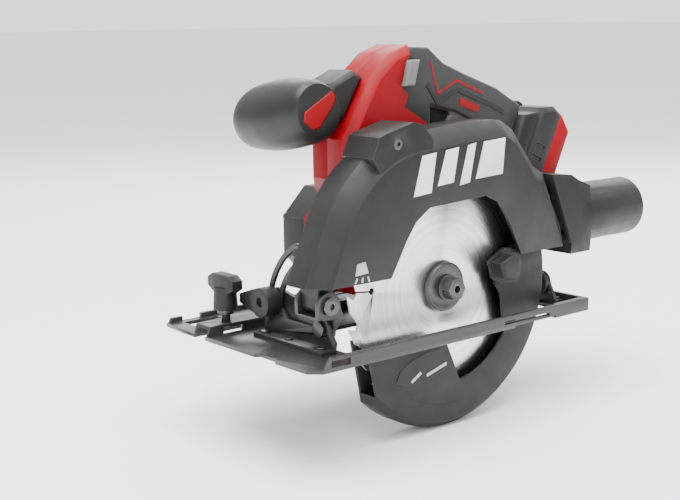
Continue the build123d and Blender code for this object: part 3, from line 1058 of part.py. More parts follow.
with BuildPart() as spindle_lock_button:
    disc_x(LOCK_Y, SPINDLE_Z, LOCK_R, GEAR_TIP_R + LOCK_TRAVEL + RUN_GAP, LOCK_BOSS_X + LOCK_TRAVEL + 1)
    disc_x(LOCK_Y, SPINDLE_Z, 5.5, LOCK_BOSS_X + LOCK_TRAVEL + 1, LOCK_BOSS_X + LOCK_TRAVEL + 4)
spindle_lock_button.part.label = "spindle_lock_button"
export_step(spindle_lock_button.part, "parts/spindle_lock_button.step")

with BuildPart() as switch_module:
    slab_y([(-40, 155), (-9, 155), (-9, 166), (-24, 166), (-40, 160)], HANDLE_Y - 8, HANDLE_Y + 8)
switch_module.part.label = "switch_module"
export_step(switch_module.part, "parts/switch_module.step")

with BuildPart() as control_board:
    block(-4, 38, HANDLE_Y - 10, HANDLE_Y - 8.4, 94, 129)
    block(4, 28, HANDLE_Y - 8.4, HANDLE_Y + 4, 98, 120)
control_board.part.label = "control_board"
export_step(control_board.part, "parts/control_board.step")

# ---------------------------------------------------------------- front handle
STALK_LEFT = -30.0
STALK_RIGHT = -60.0
with BuildPart() as aux_handle_core:
    stalk = [(54, 138.5), (37.9, 165), (46, 170), (64, 162), (70, 150), (66, 138)]
    slab_y(stalk, STALK_RIGHT, STALK_LEFT - 2)
    chamfer(aux_handle_core.faces().filter_by(Axis.Y).edges(), length=3)
    disc_y(KNOB_X, KNOB_Z - 2, 9, KNOB_Y_FAR + 16, KNOB_Y_NEAR - 8)
    add(shell_body, mode=Mode.SUBTRACT)
aux_handle_core.part.label = "aux_handle_core"
export_step(aux_handle_core.part, "parts/aux_handle_core.step")

# Sections of the knob: share of its length, half width, half height.
knob_sections = [(0.0, 17.5, 16.5), (0.04, 19.2, 18.3), (0.22, 21.4, 21.8), (0.45, 22.0, 24.0),
                 (0.7, 21.0, 22.6), (0.88, 17.5, 18.4), (0.97, 11.5, 11.5), (1.0, 7.5, 7.5)]
KNOB_LEAN = -42.0
with BuildPart() as aux_handle_grip:
    rings = []
    for share, half_wide, half_high in knob_sections:
        ring_y = KNOB_Y_NEAR + (KNOB_Y_FAR - KNOB_Y_NEAR) * share
        with BuildSketch(side(ring_y)) as ring:
            with Locations(Location((KNOB_X, KNOB_Z - KNOB_DROOP * share), KNOB_LEAN)):
                Ellipse(half_high, half_wide)
        rings.append(ring.sketch.faces()[0])
    loft(rings)
    add(aux_handle_core.part, mode=Mode.SUBTRACT)
    knob_badge = [(68, 158.5), (64.8, 155), (66, 150), (78, 135.5), (83, 134.5), (90.5, 140), (90, 146)]
    slab_y(knob_badge, KNOB_Y_NEAR - 1.4, KNOB_Y_NEAR + 1, Mode.SUBTRACT)
aux_handle_grip.part.label = "aux_handle_grip"
export_step(aux_handle_grip.part, "parts/aux_handle_grip.step")

with BuildPart() as aux_handle_inlay:
    slab_y(grow(knob_badge, -0.15), KNOB_Y_NEAR - 1.4, KNOB_Y_NEAR + 0.6)
    chamfer(aux_handle_inlay.faces().sort_by(Axis.Y)[-1].edges(), length=0.7)
aux_handle_inlay.part.label = "aux_handle_inlay"
export_step(aux_handle_inlay.part, "parts/aux_handle_inlay.step")

# ---------------------------------------------------------------- battery and its rail
PACK_BOTTOM = -88.0
PACK_TOP = 9.7
PACK_GAP = 0.4
PACK_SPLIT = 21.0
RAIL_HALF = 12.0
RAIL_LIP = 3.0
RAIL_OUT = 5.0
RAIL_LOW = -82.0
RAIL_HIGH = -8.0


def foot_block(along_low, along_high, out_low, out_high, y_low, y_high, mode=Mode.ADD):
    """A block that lies square to the battery foot."""
    corners = [foot_point(along_low, out_low), foot_point(along_high, out_low),
               foot_point(along_high, out_high), foot_point(along_low, out_high)]
    slab_y(corners, y_low, y_high, mode)


with BuildPart() as battery_rail:
    foot_block(RAIL_LOW, RAIL_HIGH, 0, RAIL_OUT, PACK_Y - RAIL_HALF, PACK_Y + RAIL_HALF)
    foot_block(RAIL_LOW, RAIL_HIGH, RAIL_OUT - 2, RAIL_OUT, PACK_Y - RAIL_HALF - RAIL_LIP,
               PACK_Y + RAIL_HALF + RAIL_LIP)
battery_rail.part.label = "battery_rail"
export_step(battery_rail.part, "parts/battery_rail.step")

TERMINAL_TIP = 9.0
TERMINAL_HIGH = -20.0
TERMINAL_OFFSETS = (-6, 0, 6)
with BuildPart() as battery_terminals:
    for offset_y in TERMINAL_OFFSETS:
        foot_block(TERMINAL_HIGH - 14, TERMINAL_HIGH, RAIL_OUT, TERMINAL_TIP, PACK_Y + offset_y - 0.5,
                   PACK_Y + offset_y + 0.5)
battery_terminals.part.label = "battery_terminals"
export_step(battery_terminals.part, "parts/battery_terminals.step")

CELL_R = 9.2
CELL_HALF = 32.0
CELL_LOW = -76.0
CELL_STEP = 17.4
CELL_OUT = (19.0, 26.0)
CELL_SPOTS = [foot_point(CELL_LOW + CELL_STEP * index, CELL_OUT[index % 2]) for index in range(5)]
ROOM_OUT = 9.2
PACK_EDGE = 3.5
LATCH_HALF = 9.0
LATCH_OUT = (2.5, 8.0)
LATCH_LOW = -3.0
LATCH_TOP = 8.6
LATCH_TRAVEL = 2.5
PACK_LEFT = PACK_Y + PACK_HALF
PACK_RIGHT = PACK_Y - PACK_HALF

pack = [foot_point(PACK_BOTTOM, PACK_GAP), foot_point(3, PACK_GAP), foot_point(PACK_TOP, 14.4),
        foot_point(7.6, 26), foot_point(0, PACK_THICK), foot_point(PACK_BOTTOM, PACK_THICK)]
room = [foot_point(PACK_BOTTOM, ROOM_OUT - PACK_WALL), foot_point(6, ROOM_OUT - PACK_WALL),
        foot_point(PACK_TOP, 14.4), foot_point(7.6, 26), foot_point(0, PACK_THICK),
        foot_point(PACK_BOTTOM, PACK_THICK)]
pack_body = soft_block(pack, PACK_RIGHT, PACK_LEFT, PACK_EDGE)
pack_room = soft_block(grow(room, -PACK_WALL), PACK_RIGHT + PACK_WALL, PACK_LEFT - PACK_WALL, 1.0)

with BuildPart() as battery_case:
    add(pack_body)
    add(pack_room, mode=Mode.SUBTRACT)
    foot_block(-200, 200, PACK_SPLIT, 200, -300, 300, Mode.SUBTRACT)
    foot_block(PACK_BOTTOM - 1, RAIL_HIGH + PACK_GAP, 0, RAIL_OUT - 2 - PACK_GAP,
               PACK_Y - RAIL_HALF - PACK_GAP, PACK_Y + RAIL_HALF + PACK_GAP, Mode.SUBTRACT)
    lip = RAIL_HALF + RAIL_LIP + PACK_GAP
    foot_block(PACK_BOTTOM - 1, RAIL_HIGH + PACK_GAP, RAIL_OUT - 2 - PACK_GAP, RAIL_OUT + PACK_GAP,
               PACK_Y - lip, PACK_Y + lip, Mode.SUBTRACT)
    for offset_y in TERMINAL_OFFSETS:
        foot_block(PACK_BOTTOM - 1, TERMINAL_HIGH + PACK_GAP, RAIL_OUT, ROOM_OUT + 0.3,
                   PACK_Y + offset_y - 0.9, PACK_Y + offset_y + 0.9, Mode.SUBTRACT)
    foot_block(LATCH_LOW - LATCH_TRAVEL - RUN_GAP, PACK_TOP + 5, LATCH_OUT[0] - RUN_GAP,
               LATCH_OUT[1] + RUN_GAP,
               PACK_Y - LATCH_HALF - RUN_GAP, PACK_Y + LATCH_HALF + RUN_GAP, Mode.SUBTRACT)
    # Grip grooves across both sides.
    for index in range(3):
        along = -24 - 9 * index
        foot_block(along, along + 3, 6, 16, PACK_LEFT - 0.8, PACK_LEFT + 1, Mode.SUBTRACT)
        foot_block(along, along + 3, 6, 16, PACK_RIGHT - 1, PACK_RIGHT + 0.8, Mode.SUBTRACT)
battery_case.part.label = "battery_case"
export_step(battery_case.part, "parts/battery_case.step")

with BuildPart() as battery_cap:
    add(pack_body)
    add(pack_room, mode=Mode.SUBTRACT)
    foot_block(-200, 200, -200, PACK_SPLIT, -300, 300, Mode.SUBTRACT)
battery_cap.part.label = "battery_cap"
export_step(battery_cap.part, "parts/battery_cap.step")

with BuildPart() as battery_cells:
    for cell_x, cell_z in CELL_SPOTS:
        disc_y(cell_x, cell_z, CELL_R, PACK_Y - CELL_HALF, PACK_Y + CELL_HALF)
battery_cells.part.label = "battery_cells"
export_step(battery_cells.part, "parts/battery_cells.step")

with BuildPart() as battery_latch:
    foot_block(LATCH_LOW, LATCH_TOP, LATCH_OUT[0], LATCH_OUT[1], PACK_Y - LATCH_HALF, PACK_Y + LATCH_HALF)
    chamfer(battery_latch.faces().sort_by(Axis.Z)[-1].edges(), length=1)
battery_latch.part.label = "battery_latch"
export_step(battery_latch.part, "parts/battery_latch.step")
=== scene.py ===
import json
import math

import bmesh
import bpy
from mathutils import Matrix, Vector


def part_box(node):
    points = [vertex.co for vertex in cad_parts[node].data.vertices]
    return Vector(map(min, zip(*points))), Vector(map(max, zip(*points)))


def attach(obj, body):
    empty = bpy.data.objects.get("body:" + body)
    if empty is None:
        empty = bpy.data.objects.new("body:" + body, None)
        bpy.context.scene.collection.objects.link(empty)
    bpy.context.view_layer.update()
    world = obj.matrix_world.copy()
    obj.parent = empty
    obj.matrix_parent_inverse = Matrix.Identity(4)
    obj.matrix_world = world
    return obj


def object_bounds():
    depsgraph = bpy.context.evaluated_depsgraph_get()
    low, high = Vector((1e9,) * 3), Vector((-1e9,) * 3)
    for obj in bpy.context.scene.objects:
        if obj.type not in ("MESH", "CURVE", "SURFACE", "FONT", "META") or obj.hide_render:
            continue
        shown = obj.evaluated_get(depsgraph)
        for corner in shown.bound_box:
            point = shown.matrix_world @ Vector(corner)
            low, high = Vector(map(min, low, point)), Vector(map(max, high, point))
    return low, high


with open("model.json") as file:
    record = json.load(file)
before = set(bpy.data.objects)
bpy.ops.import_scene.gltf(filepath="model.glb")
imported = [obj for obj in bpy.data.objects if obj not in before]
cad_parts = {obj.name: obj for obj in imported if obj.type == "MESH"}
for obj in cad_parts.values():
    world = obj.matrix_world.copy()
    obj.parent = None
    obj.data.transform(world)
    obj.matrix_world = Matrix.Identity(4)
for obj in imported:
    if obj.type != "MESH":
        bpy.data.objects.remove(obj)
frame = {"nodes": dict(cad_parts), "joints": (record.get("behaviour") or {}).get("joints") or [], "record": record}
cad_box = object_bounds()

MM = 0.001
NODES = frame["nodes"]
JOINTS = {joint["name"]: joint for joint in frame["joints"]}
SPINDLE = Vector(JOINTS["blade_spin"]["pos_m"])
GUARD_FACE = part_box("upper_guard")[1].y / MM


# ---------------------------------------------------------------- material graphs
# A Mix node has its sockets for colours at these places.
MIX_SHARE, MIX_FIRST, MIX_SECOND, MIX_RESULT = 0, 6, 7, 2
NOISE_ROUGHNESS = 0.55
# How far a rounded normal leans from the flat one where an edge starts, and where it is full, as cosines.
EDGE_STARTS, EDGE_FULL = 0.99, 0.80


class Graph:
    """A node material: one Principled shader, fed by procedural patterns in the object's own coordinates."""

    def __init__(self, name, **sockets):
        self.material = bpy.data.materials.new(name)
        self.material.use_nodes = True
        self.tree = self.material.node_tree
        self.shader = self.tree.nodes["Principled BSDF"]
        for socket, value in sockets.items():
            self.shader.inputs[socket.replace("_", " ")].default_value = value
        self.place = self.add("ShaderNodeTexCoord").outputs["Object"]

    def add(self, kind, **settings):
        node = self.tree.nodes.new(kind)
        for key, value in settings.items():
            setattr(node, key, value)
        return node

    def feed(self, socket, source):
        """Links source into the socket, or sets it when source is a plain value."""
        if isinstance(source, bpy.types.NodeSocket):
            self.tree.links.new(source, socket)
        else:
            socket.default_value = source

    def noise(self, scale, detail):
        node = self.add("ShaderNodeTexNoise")
        self.feed(node.inputs["Vector"], self.place)
        node.inputs["Scale"].default_value = scale
        node.inputs["Detail"].default_value = detail
        node.inputs["Roughness"].default_value = NOISE_ROUGHNESS
        return node.outputs["Fac"]

    def rings(self, radius, per_metre, detail):
        """Noise along the radius only, so that it lies in rings."""
        node = self.add("ShaderNodeTexNoise", noise_dimensions="1D")
        self.feed(node.inputs["W"], self.calc("MULTIPLY", radius, per_metre))
        node.inputs["Scale"].default_value = 1.0
        node.inputs["Detail"].default_value = detail
        return node.outputs["Fac"]

    def calc(self, operation, first, second=0.0, third=0.0):
        node = self.add("ShaderNodeMath", operation=operation)
        for socket, value in zip(node.inputs, (first, second, third)):
            self.feed(socket, value)
        return node.outputs["Value"]

    def span(self, value, read, written=(0.0, 1.0)):
        """Maps the range that is read onto the range that is written."""
        node = self.add("ShaderNodeMapRange")
        for socket, item in zip(node.inputs, (value, *read, *written)):
            self.feed(socket, item)
        return node.outputs["Result"]

    def blend(self, share, first, second):
        node = self.add("ShaderNodeMix", data_type="RGBA")
        self.feed(node.inputs[MIX_SHARE], share)
        self.feed(node.inputs[MIX_FIRST], first)
        self.feed(node.inputs[MIX_SECOND], second)
        return node.outputs[MIX_RESULT]

    def edges(self, radius):
        """Near 1 on outer edges and 0 on flats, from how far a rounded normal leans."""
        bevel = self.add("ShaderNodeBevel", samples=4)
        bevel.inputs["Radius"].default_value = radius
        dot = self.add("ShaderNodeVectorMath", operation="DOT_PRODUCT")
        self.feed(dot.inputs[0], bevel.outputs["Normal"])
        self.feed(dot.inputs[1], self.add("ShaderNodeNewGeometry").outputs["Normal"])
        return self.span(dot.outputs["Value"], (EDGE_STARTS, EDGE_FULL))

    def bump(self, height, strength, distance=0.3 * MM):
        node = self.add("ShaderNodeBump")
        node.inputs["Strength"].default_value = strength
        node.inputs["Distance"].default_value = distance
        self.feed(node.inputs["Height"], height)
        self.feed(self.shader.inputs["Normal"], node.outputs["Normal"])

    def colour(self, source):
        """Feeds the base colour, and keeps its source as tone."""
        self.tone = source
        self.feed(self.shader.inputs["Base Color"], source)

    def rough(self, source):
        self.feed(self.shader.inputs["Roughness"], source)


def grey(level, tint=0.0):
    """A neutral colour; a positive tint leans to blue."""
    return (level, level, level * (1 + tint), 1.0)


def scaled(colour, gain, lift=0.0):
    """The same hue, brighter or darker; lift adds a little white."""
    return tuple(min(1.0, channel * gain + lift) for channel in colour[:3]) + (1.0,)


GRAIN_SCALE = 1500
GLOSSY = {"rough": (0.4, 0.5), "grain": 0.1, "Specular_IOR_Level": 0.18}
PRINTED = {"rough": (0.45, 0.55), "grain": 0.05}


def moulded_graph(name, base, worn, rough=(0.42, 0.56), grain=0.22, **sockets):
    """Moulded plastic: spark-eroded grain, faint handling marks, and paler worn edges."""
    graph = Graph(name, **sockets)
    cloud = graph.noise(scale=26, detail=5)
    specks = graph.noise(scale=GRAIN_SCALE, detail=2)
    skin = graph.blend(graph.span(cloud, (0.35, 0.65)), scaled(base, 0.82), base)
    wear = graph.span(graph.noise(scale=160, detail=4), (0.35, 0.7), (0.2, 0.5))
    graph.colour(graph.blend(graph.calc("MULTIPLY", graph.edges(radius=0.9 * MM), wear), skin, worn))
    graph.rough(graph.span(graph.noise(scale=90, detail=6), (0.3, 0.7), rough))
    graph.bump(specks, strength=grain)
    return graph


def moulded(name, base, worn, **settings):
    return moulded_graph(name, base, worn, **settings).material


def two_shot(name, front, back, split_x):
    """Moulded plastic in two colours, which meet on a sharp line at split_x, in metres."""
    graph = moulded_graph(name, front, scaled(front, 1.4, lift=0.02), **GLOSSY)
    parts = graph.add("ShaderNodeSeparateXYZ")
    graph.feed(parts.inputs[0], graph.place)
    behind = graph.calc("LESS_THAN", parts.outputs["X"], split_x)
    graph.colour(graph.blend(behind, graph.tone, back))
    return graph.material


def painted(name, base, worn):
    """Powder-coated sheet steel: orange peel, and bright rubbed edges."""
    graph = Graph(name, Coat_Weight=0.15, Coat_Roughness=0.25)
    peel = graph.noise(scale=520, detail=3)
    patches = graph.noise(scale=35, detail=5)
    wear = graph.span(graph.noise(scale=240, detail=6), (0.45, 0.75), (0.0, 0.8))
    rubbed = graph.calc("MULTIPLY", graph.edges(radius=0.6 * MM), wear)
    skin = graph.blend(graph.span(patches, (0.3, 0.7)), scaled(base, 0.8), base)
    graph.colour(graph.blend(rubbed, skin, worn))
    graph.rough(graph.span(patches, (0.3, 0.7), (0.34, 0.5)))
    graph.bump(peel, strength=0.25, distance=0.4 * MM)
    return graph.material


def oxide_steel(name, base):
    """Blackened machined steel with a fine grain, oily patches and bright edges."""
    graph = Graph(name, Metallic=0.85)
    patches = graph.noise(scale=120, detail=6)
    skin = graph.blend(patches, base, scaled(base, 1.7))
    bright = graph.calc("MULTIPLY", graph.edges(radius=0.5 * MM), 0.8)
    graph.colour(graph.blend(bright, skin, grey(0.45)))
    graph.rough(graph.span(patches, (0.3, 0.7), (0.28, 0.45)))
    graph.bump(graph.noise(scale=1800, detail=2), strength=0.2, distance=0.2 * MM)
    return graph.material


def brushed_disc(name, centre):
    """Blade steel: rings ground about the arbor, with darker polished bands and fine scratches."""
    graph = Graph(name, Metallic=1.0, Anisotropic=0.75)
    offset = graph.add("ShaderNodeVectorMath", operation="SUBTRACT")
    graph.feed(offset.inputs[0], graph.place)
    offset.inputs[1].default_value = centre
    parts = graph.add("ShaderNodeSeparateXYZ")
    graph.feed(parts.inputs[0], offset.outputs["Vector"])
    across = graph.calc("MULTIPLY", parts.outputs["X"], parts.outputs["X"])
    upward = graph.calc("MULTIPLY", parts.outputs["Z"], parts.outputs["Z"])
    radius = graph.calc("SQRT", graph.calc("ADD", across, upward))
    scratches = graph.rings(radius, per_metre=2400.0, detail=4.0)
    bands = graph.rings(radius, per_metre=330.0, detail=2.0)
    tone = graph.calc("ADD", graph.span(scratches, (0.25, 0.75), (-0.11, 0.08)),
                      graph.span(bands, (0.3, 0.7), (0.74, 0.88)))
    shade = graph.add("ShaderNodeCombineColor")
    for channel, gain in zip(shade.inputs, (1.0, 0.997, 0.985)):
        graph.feed(channel, graph.calc("MULTIPLY", tone, gain))
    graph.colour(shade.outputs["Color"])
    graph.rough(graph.span(scratches, (0.25, 0.75), (0.24, 0.4)))
    tangent = graph.add("ShaderNodeTangent", direction_type="RADIAL", axis="Y")
    graph.feed(graph.shader.inputs["Tangent"], tangent.outputs["Tangent"])
    graph.bump(scratches, strength=0.12, distance=0.1 * MM)
    return graph.material


def rubber(name, base):
    """Soft over-moulded grip: matt, finely pebbled."""
    graph = Graph(name, Sheen_Weight=0.12, Specular_IOR_Level=0.35)
    cloud = graph.noise(scale=40, detail=5)
    graph.colour(graph.blend(cloud, base, scaled(base, 1.5)))
    graph.rough(graph.span(cloud, (0.3, 0.7), (0.62, 0.8)))
    pebbles = graph.add("ShaderNodeTexVoronoi")
    graph.feed(pebbles.inputs["Vector"], graph.place)
    pebbles.inputs["Scale"].default_value = 1100
    graph.bump(pebbles.outputs["Distance"], strength=0.25)
    return graph.material


def cast_metal(name, base):
    """Die-cast light alloy, slightly grainy."""
    graph = Graph(name, Metallic=0.9)
    cloud = graph.noise(scale=60, detail=6)
    graph.colour(graph.blend(cloud, base, scaled(base, 1.25)))
    graph.rough(graph.span(cloud, (0.3, 0.7), (0.4, 0.6)))
    graph.bump(graph.noise(scale=900, detail=4), strength=0.3)
    return graph.material


BLACK = grey(0.013, 0.03)
RED = (0.27, 0.002, 0.007, 1.0)
SHELL_SPLIT_X = -0.088
LOOKS = {
    "black_plastic": moulded("black_plastic", BLACK, grey(0.12), Specular_IOR_Level=0.32),
    "knob_plastic": moulded("knob_plastic", grey(0.011), grey(0.05), rough=(0.36, 0.46), grain=0.12,
                            Specular_IOR_Level=0.36),
    "grey_plastic": moulded("grey_plastic", grey(0.16), grey(0.3)),
    "red_plastic": moulded("red_plastic", RED, (0.42, 0.02, 0.03, 1.0), **GLOSSY),
    "shell_plastic": two_shot("shell_plastic", RED, BLACK, SHELL_SPLIT_X),
    "grip_rubber": rubber("grip_rubber", grey(0.022)),
    "black_paint": painted("black_paint", grey(0.018), grey(0.3)),
    "dark_steel": oxide_steel("dark_steel", grey(0.07)),
    "blade_steel": brushed_disc("blade_steel", SPINDLE),
    "gear_metal": cast_metal("gear_metal", grey(0.2)),
    "copper": oxide_steel("copper", (0.6, 0.3, 0.15, 1.0)),
    "carbon": moulded("carbon", grey(0.03), grey(0.1)),
    "lens": moulded("lens", (0.8, 0.85, 0.9, 1.0), grey(0.9), rough=(0.05, 0.12), grain=0.02,
                    Transmission_Weight=0.6),
    "board": moulded("board", (0.02, 0.14, 0.05, 1.0), (0.1, 0.3, 0.12, 1.0), grain=0.1),
    "cell_wrap": moulded("cell_wrap", (0.05, 0.14, 0.32, 1.0), (0.2, 0.3, 0.5, 1.0), rough=(0.2, 0.3),
                         grain=0.05),
    "print_white": moulded("print_white", grey(0.86), grey(0.95), **PRINTED),
    "print_grey": moulded("print_grey", grey(0.5), grey(0.6), **PRINTED),
    # Near black: a dark joint along the guard seam, and painted shade in the lower guard's groove.
    "seam_black_and_groove_shade": moulded("seam_black_and_groove_shade", grey(0.004), grey(0.01), rough=(0.6, 0.7), grain=0.05),
}
# Nodes whose look is finer than their material slot says.
SPECIAL = {"aux_handle_grip": "knob_plastic", "handle_shell_left": "shell_plastic",
           "handle_shell_right": "shell_plastic"}


# ---------------------------------------------------------------- CAD nodes: finish and rounded edges
WELD_DISTANCE = 0.001 * MM
PLAIN_EDGE = 0.35 * MM
FINE_EDGES = {"saw_blade": 0.12 * MM, "spindle_gear": 0.1 * MM, "rotor_shaft": 0.1 * MM}
# Edges whose faces turn by more than this are rounded.
ROUNDED_FROM = math.radians(28)


def round_edges(piece, width):
    rounding = piece.modifiers.new("rounding", "BEVEL")
    rounding.width = width
    rounding.segments = 2
    rounding.limit_method = "ANGLE"
    return rounding


def finish_node(name, slot_name):
    node = NODES[name]
    node.data.materials.clear()
    node.data.materials.append(LOOKS[SPECIAL.get(name, slot_name)])
    node.data.shade_smooth()
    weld = node.modifiers.new("weld", "WELD")
    weld.merge_threshold = WELD_DISTANCE
    rounding = round_edges(node, FINE_EDGES.get(name, PLAIN_EDGE))
    rounding.angle_limit = ROUNDED_FROM
    rounding.harden_normals = True


for subpart in frame["record"]["subparts"]:
    finish_node(subpart["node"], subpart["material_slot"])


# ---------------------------------------------------------------- surface details
def plate(name, outline, y_low, y_high, look, body, edge=0.0):
    """A thin raised piece: an outline in X and Z in mm, between two heights on Y."""
    shape = bmesh.new()
    rims = []
    for y in (y_low, y_high):
        rims.append([shape.verts.new((x * MM, y * MM, z * MM)) for x, z in outline])
    shape.faces.new(rims[0])
    shape.faces.new(list(reversed(rims[1])))
    count = len(outline)
    for index in range(count):
        after = (index + 1) % count
        shape.faces.new((rims[0][after], rims[0][index], rims[1][index], rims[1][after]))
    bmesh.ops.recalc_face_normals(shape, faces=shape.faces)
    mesh = bpy.data.meshes.new(name)
    shape.to_mesh(mesh)
    shape.free()
    mesh.materials.append(LOOKS[look])
    piece = bpy.data.objects.new(name, mesh)
    bpy.context.scene.collection.objects.link(piece)
    if edge:
        round_edges(piece, edge * MM)
    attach(piece, body)


# A band's corner is widened as if its half turn had at least this cosine.
SHARPEST_TURN = 0.35


def band(path, half):
    """The outline of a strip of the given half width along a path of points."""
    left, right = [], []
    for index, here in enumerate(path):
        before = path[max(index - 1, 0)]
        after = path[min(index + 1, len(path) - 1)]
        into = Vector(here) - Vector(before) if index else Vector(after) - Vector(here)
        away = Vector(after) - Vector(here) if index < len(path) - 1 else into
        into, away = into.normalized(), away.normalized()
        middle = (into + away).normalized()
        across = Vector((-middle.y, middle.x)) * half / max(SHARPEST_TURN, middle.dot(into))
        left.append((here[0] + across.x, here[1] + across.y))
        right.append((here[0] - across.x, here[1] - across.y))
    return left + right[::-1]


PRINT_SINK = 0.05
BAR_RISE = 0.18
MARK_RISE = 0.15
GROOVE_SINK = 0.1
# Where each bar on the guard starts on X, its width, and how far its foot is raised.
BARS = ((40, 15, 0), (19.5, 14, 3), (0, 9, 0), (-14.5, 25, 1.5))
BAR_BASE_Z = 93.0
BAR_CLIMB = 0.09
BAR_HEIGHT = 25
BAR_LEAN = 7.5
BAR_TAPER = 0.8
BAR_SLANT = 1.2


def guard_bars():
    """Four leaning bars, rising towards the rear, stand in for the mark on the guard."""
    for index, (start, wide, foot) in enumerate(BARS):
        base = BAR_BASE_Z + (BARS[0][0] - start) * BAR_CLIMB
        top = base + BAR_HEIGHT
        bar = [(start, base + foot), (start - BAR_LEAN, top),
               (start - BAR_LEAN - wide * BAR_TAPER, top + BAR_SLANT),
               (start - wide, base + foot + BAR_SLANT)]
        plate("guard_bar_%d" % index, bar, GUARD_FACE - PRINT_SINK, GUARD_FACE + BAR_RISE,
              "print_white", "saw")


def light_mark():
    """A lamp with three rays marks the work light."""
    low, high = GUARD_FACE - PRINT_SINK, GUARD_FACE + MARK_RISE
    lamp = [(88, 50), (86.4, 57), (80, 57.8), (77.6, 50.6)]
    plate("light_mark_lamp", lamp, low, high, "print_grey", "saw")
    for index in range(3):
        ray = band([(86.5 - 4.2 * index, 48.4), (88.2 - 5.6 * index, 45.4)], 0.6)
        plate("light_mark_ray_%d" % index, ray, low, high, "print_grey", "saw")


def guard_seam():
    """The parting line at the guard's rear, beside the dust port."""
    seam = [(-78.5, 93), (-80.4, 85.7), (-90, 72.5), (-97.3, 58), (-100.5, 46)]
    plate("guard_seam", band(seam, 0.45), GUARD_FACE - GROOVE_SINK, GUARD_FACE + GROOVE_SINK,
          "seam_black_and_groove_shade", "saw")


TRIM_SINK = 0.25
TRIM_RISE = 0.35
RIB_MORE = 0.3
GRIP_LOW, GRIP_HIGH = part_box("handle_grip")


def grip_trim(label, low, high):
    """One side of the grip: a red line over a raised rubber rib, and a red badge."""
    line = [(-13.5, 173), (-20.1, 152), (-37.6, 160.2), (-63, 150.3)]
    plate("grip_line_" + label, band(line, 0.75), low, high, "red_plastic", "saw", edge=0.15)
    rib = [(-10.5, 159), (-19.5, 146.6), (-38.5, 154.4), (-70, 142.6), (-84, 136.5)]
    plate("grip_rib_" + label, band(rib, 1.7), low - RIB_MORE, high + RIB_MORE,
          "knob_plastic", "saw", edge=0.5)
    badge = [(-40.5, 149), (-60, 142), (-57.5, 137.6), (-40, 143.4)]
    plate("grip_badge_" + label, badge, low, high, "red_plastic", "saw", edge=0.2)


LOWER_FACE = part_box("lower_guard")[1].y / MM
FIELD_RISE = 0.7
SLOT_LOW, SLOT_HIGH = 0.5, 0.85
GROOVE_RISE = 0.08


def lower_guard_trim():
    """A raised field with two light slots, and a near-black strip of painted shade standing in for the recessed
    groove that points along the guard's swing.
    """
    field = [(50, -26), (45.8, -18.6), (35, -13.2), (22.5, -10.2), (11, -10), (8.6, -17), (2.6, -22),
             (12, -26.5), (27, -29.5), (40, -29.8)]
    plate("lower_guard_field", field, LOWER_FACE - GROOVE_SINK, LOWER_FACE + FIELD_RISE,
          "black_plastic", "blade_guard", edge=0.35)
    for index, path in enumerate(([(23.2, -25.6), (5.5, -20.8)], [(36.5, -27.6), (28.3, -22.8)])):
        plate("lower_guard_slot_%d" % index, band(path, 0.95), LOWER_FACE + SLOT_LOW,
              LOWER_FACE + SLOT_HIGH, "print_grey", "blade_guard")
    # The groove is not cut. A near-black strip laid on the face paints the shade inside it.
    hook = [(54.6, -27.7), (44, -31.6), (33.2, -35.2), (36.8, -38.8), (30, -42), (20, -45.6),
            (9.5, -48.2), (-7.8, -49.4)]
    plate("lower_guard_groove_shade", band(hook, 0.4), LOWER_FACE - GROOVE_SINK, LOWER_FACE + GROOVE_RISE,
          "seam_black_and_groove_shade", "blade_guard")


guard_bars()
light_mark()
guard_seam()
grip_trim("left", GRIP_HIGH.y / MM - TRIM_SINK, GRIP_HIGH.y / MM + TRIM_RISE)
grip_trim("right", GRIP_LOW.y / MM - TRIM_RISE, GRIP_LOW.y / MM + TRIM_SINK)
lower_guard_trim()


# ---------------------------------------------------------------- stage, light and camera
FLOOR_HALF = 40.0
FLOOR_GAP = 0.5 * MM
STUDIO_LIGHT = 1.7
BACKDROP_LIGHT = 1.75
STUDIO_LOW_GREY = 0.42
STUDIO_WHITE_FROM = 0.75
CAMERA_PLACE = (0.5584, 0.5717, 0.2014)
CAMERA_AZIMUTH, CAMERA_ELEVATION, CAMERA_ROLL = (math.radians(angle) for angle in (140.458, 10.514, -0.857))
CAMERA_LENS = 65.71
SENSOR_WIDTH = 36.0


def make_floor():
    mesh = bpy.data.meshes.new("floor")
    shape = bmesh.new()
    bmesh.ops.create_grid(shape, x_segments=2, y_segments=2, size=FLOOR_HALF)
    shape.to_mesh(mesh)
    shape.free()
    floor = bpy.data.objects.new("floor", mesh)
    floor.location.z = cad_box[0][2] - FLOOR_GAP
    bpy.context.scene.collection.objects.link(floor)
    graph = Graph("floor_paint", Roughness=0.9, Specular_IOR_Level=0.1)
    graph.colour(graph.blend(graph.noise(scale=3, detail=2), grey(0.95), grey(0.98)))
    mesh.materials.append(graph.material)


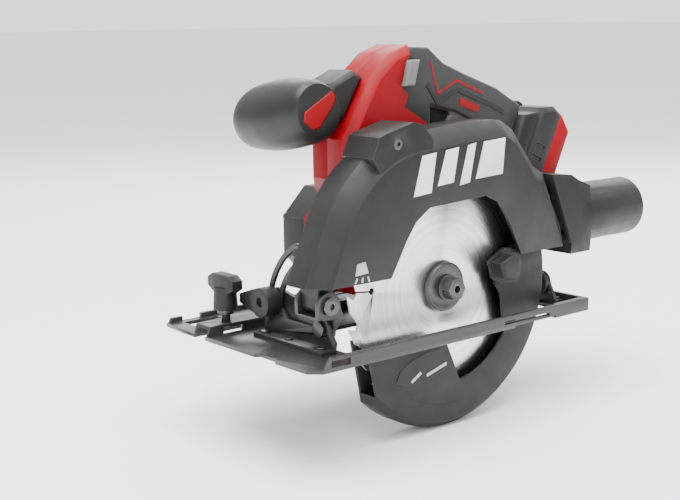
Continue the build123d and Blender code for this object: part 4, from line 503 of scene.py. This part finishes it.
def make_world():
    """A white studio: bright overhead for the object, greyer low down, and white behind it."""
    world = bpy.data.worlds.new("studio")
    bpy.context.scene.world = world
    world.use_nodes = True
    tree = world.node_tree
    background = tree.nodes["Background"]
    place = tree.nodes.new("ShaderNodeTexCoord")
    parts = tree.nodes.new("ShaderNodeSeparateXYZ")
    tree.links.new(place.outputs["Generated"], parts.inputs[0])
    ramp = tree.nodes.new("ShaderNodeValToRGB")
    tree.links.new(parts.outputs["Z"], ramp.inputs["Fac"])
    low, high = ramp.color_ramp.elements
    low.position = 0.0
    low.color = grey(STUDIO_LOW_GREY)
    high.position = STUDIO_WHITE_FROM
    high.color = grey(1.0)
    tree.links.new(ramp.outputs["Color"], background.inputs["Color"])
    background.inputs["Strength"].default_value = STUDIO_LIGHT
    backdrop = tree.nodes.new("ShaderNodeBackground")
    backdrop.inputs["Color"].default_value = grey(1.0)
    backdrop.inputs["Strength"].default_value = BACKDROP_LIGHT
    choice = tree.nodes.new("ShaderNodeMixShader")
    rays = tree.nodes.new("ShaderNodeLightPath")
    tree.links.new(rays.outputs["Is Camera Ray"], choice.inputs[0])
    tree.links.new(background.outputs[0], choice.inputs[1])
    tree.links.new(backdrop.outputs[0], choice.inputs[2])
    tree.links.new(choice.outputs[0], tree.nodes["World Output"].inputs["Surface"])


def make_light(name, place, target, size, power):
    data = bpy.data.lights.new(name, "AREA")
    data.shape = "RECTANGLE"
    data.size = size[0]
    data.size_y = size[1]
    data.energy = power
    light = bpy.data.objects.new(name, data)
    light.location = place
    light.rotation_euler = (Vector(target) - Vector(place)).to_track_quat("-Z", "Y").to_euler()
    bpy.context.scene.collection.objects.link(light)


def make_camera():
    level_share = math.cos(CAMERA_ELEVATION)
    back = Vector((math.sin(CAMERA_AZIMUTH) * level_share, -math.cos(CAMERA_AZIMUTH) * level_share,
                   math.sin(CAMERA_ELEVATION)))
    level = Vector((0, 0, 1)).cross(back).normalized()
    lift = back.cross(level)
    right = level * math.cos(CAMERA_ROLL) + lift * math.sin(CAMERA_ROLL)
    up = lift * math.cos(CAMERA_ROLL) - level * math.sin(CAMERA_ROLL)
    data = bpy.data.cameras.new("camera")
    data.sensor_width = SENSOR_WIDTH
    data.lens = CAMERA_LENS
    camera = bpy.data.objects.new("camera", data)
    turn = Matrix((right, up, back)).transposed().to_4x4()
    camera.matrix_world = Matrix.Translation(CAMERA_PLACE) @ turn
    bpy.context.scene.collection.objects.link(camera)
    bpy.context.scene.camera = camera


make_floor()
make_world()
make_light("key", place=(0.25, 0.1, 1.5), target=(0, 0, 0.08), size=(1.4, 1.4), power=62)
make_light("fill", place=(1.3, 0.9, 0.6), target=(0, 0, 0.08), size=(1.0, 1.0), power=6)
make_light("rim", place=(-1.0, -0.9, 0.9), target=(0, 0, 0.1), size=(1.4, 1.0), power=18)
make_camera()
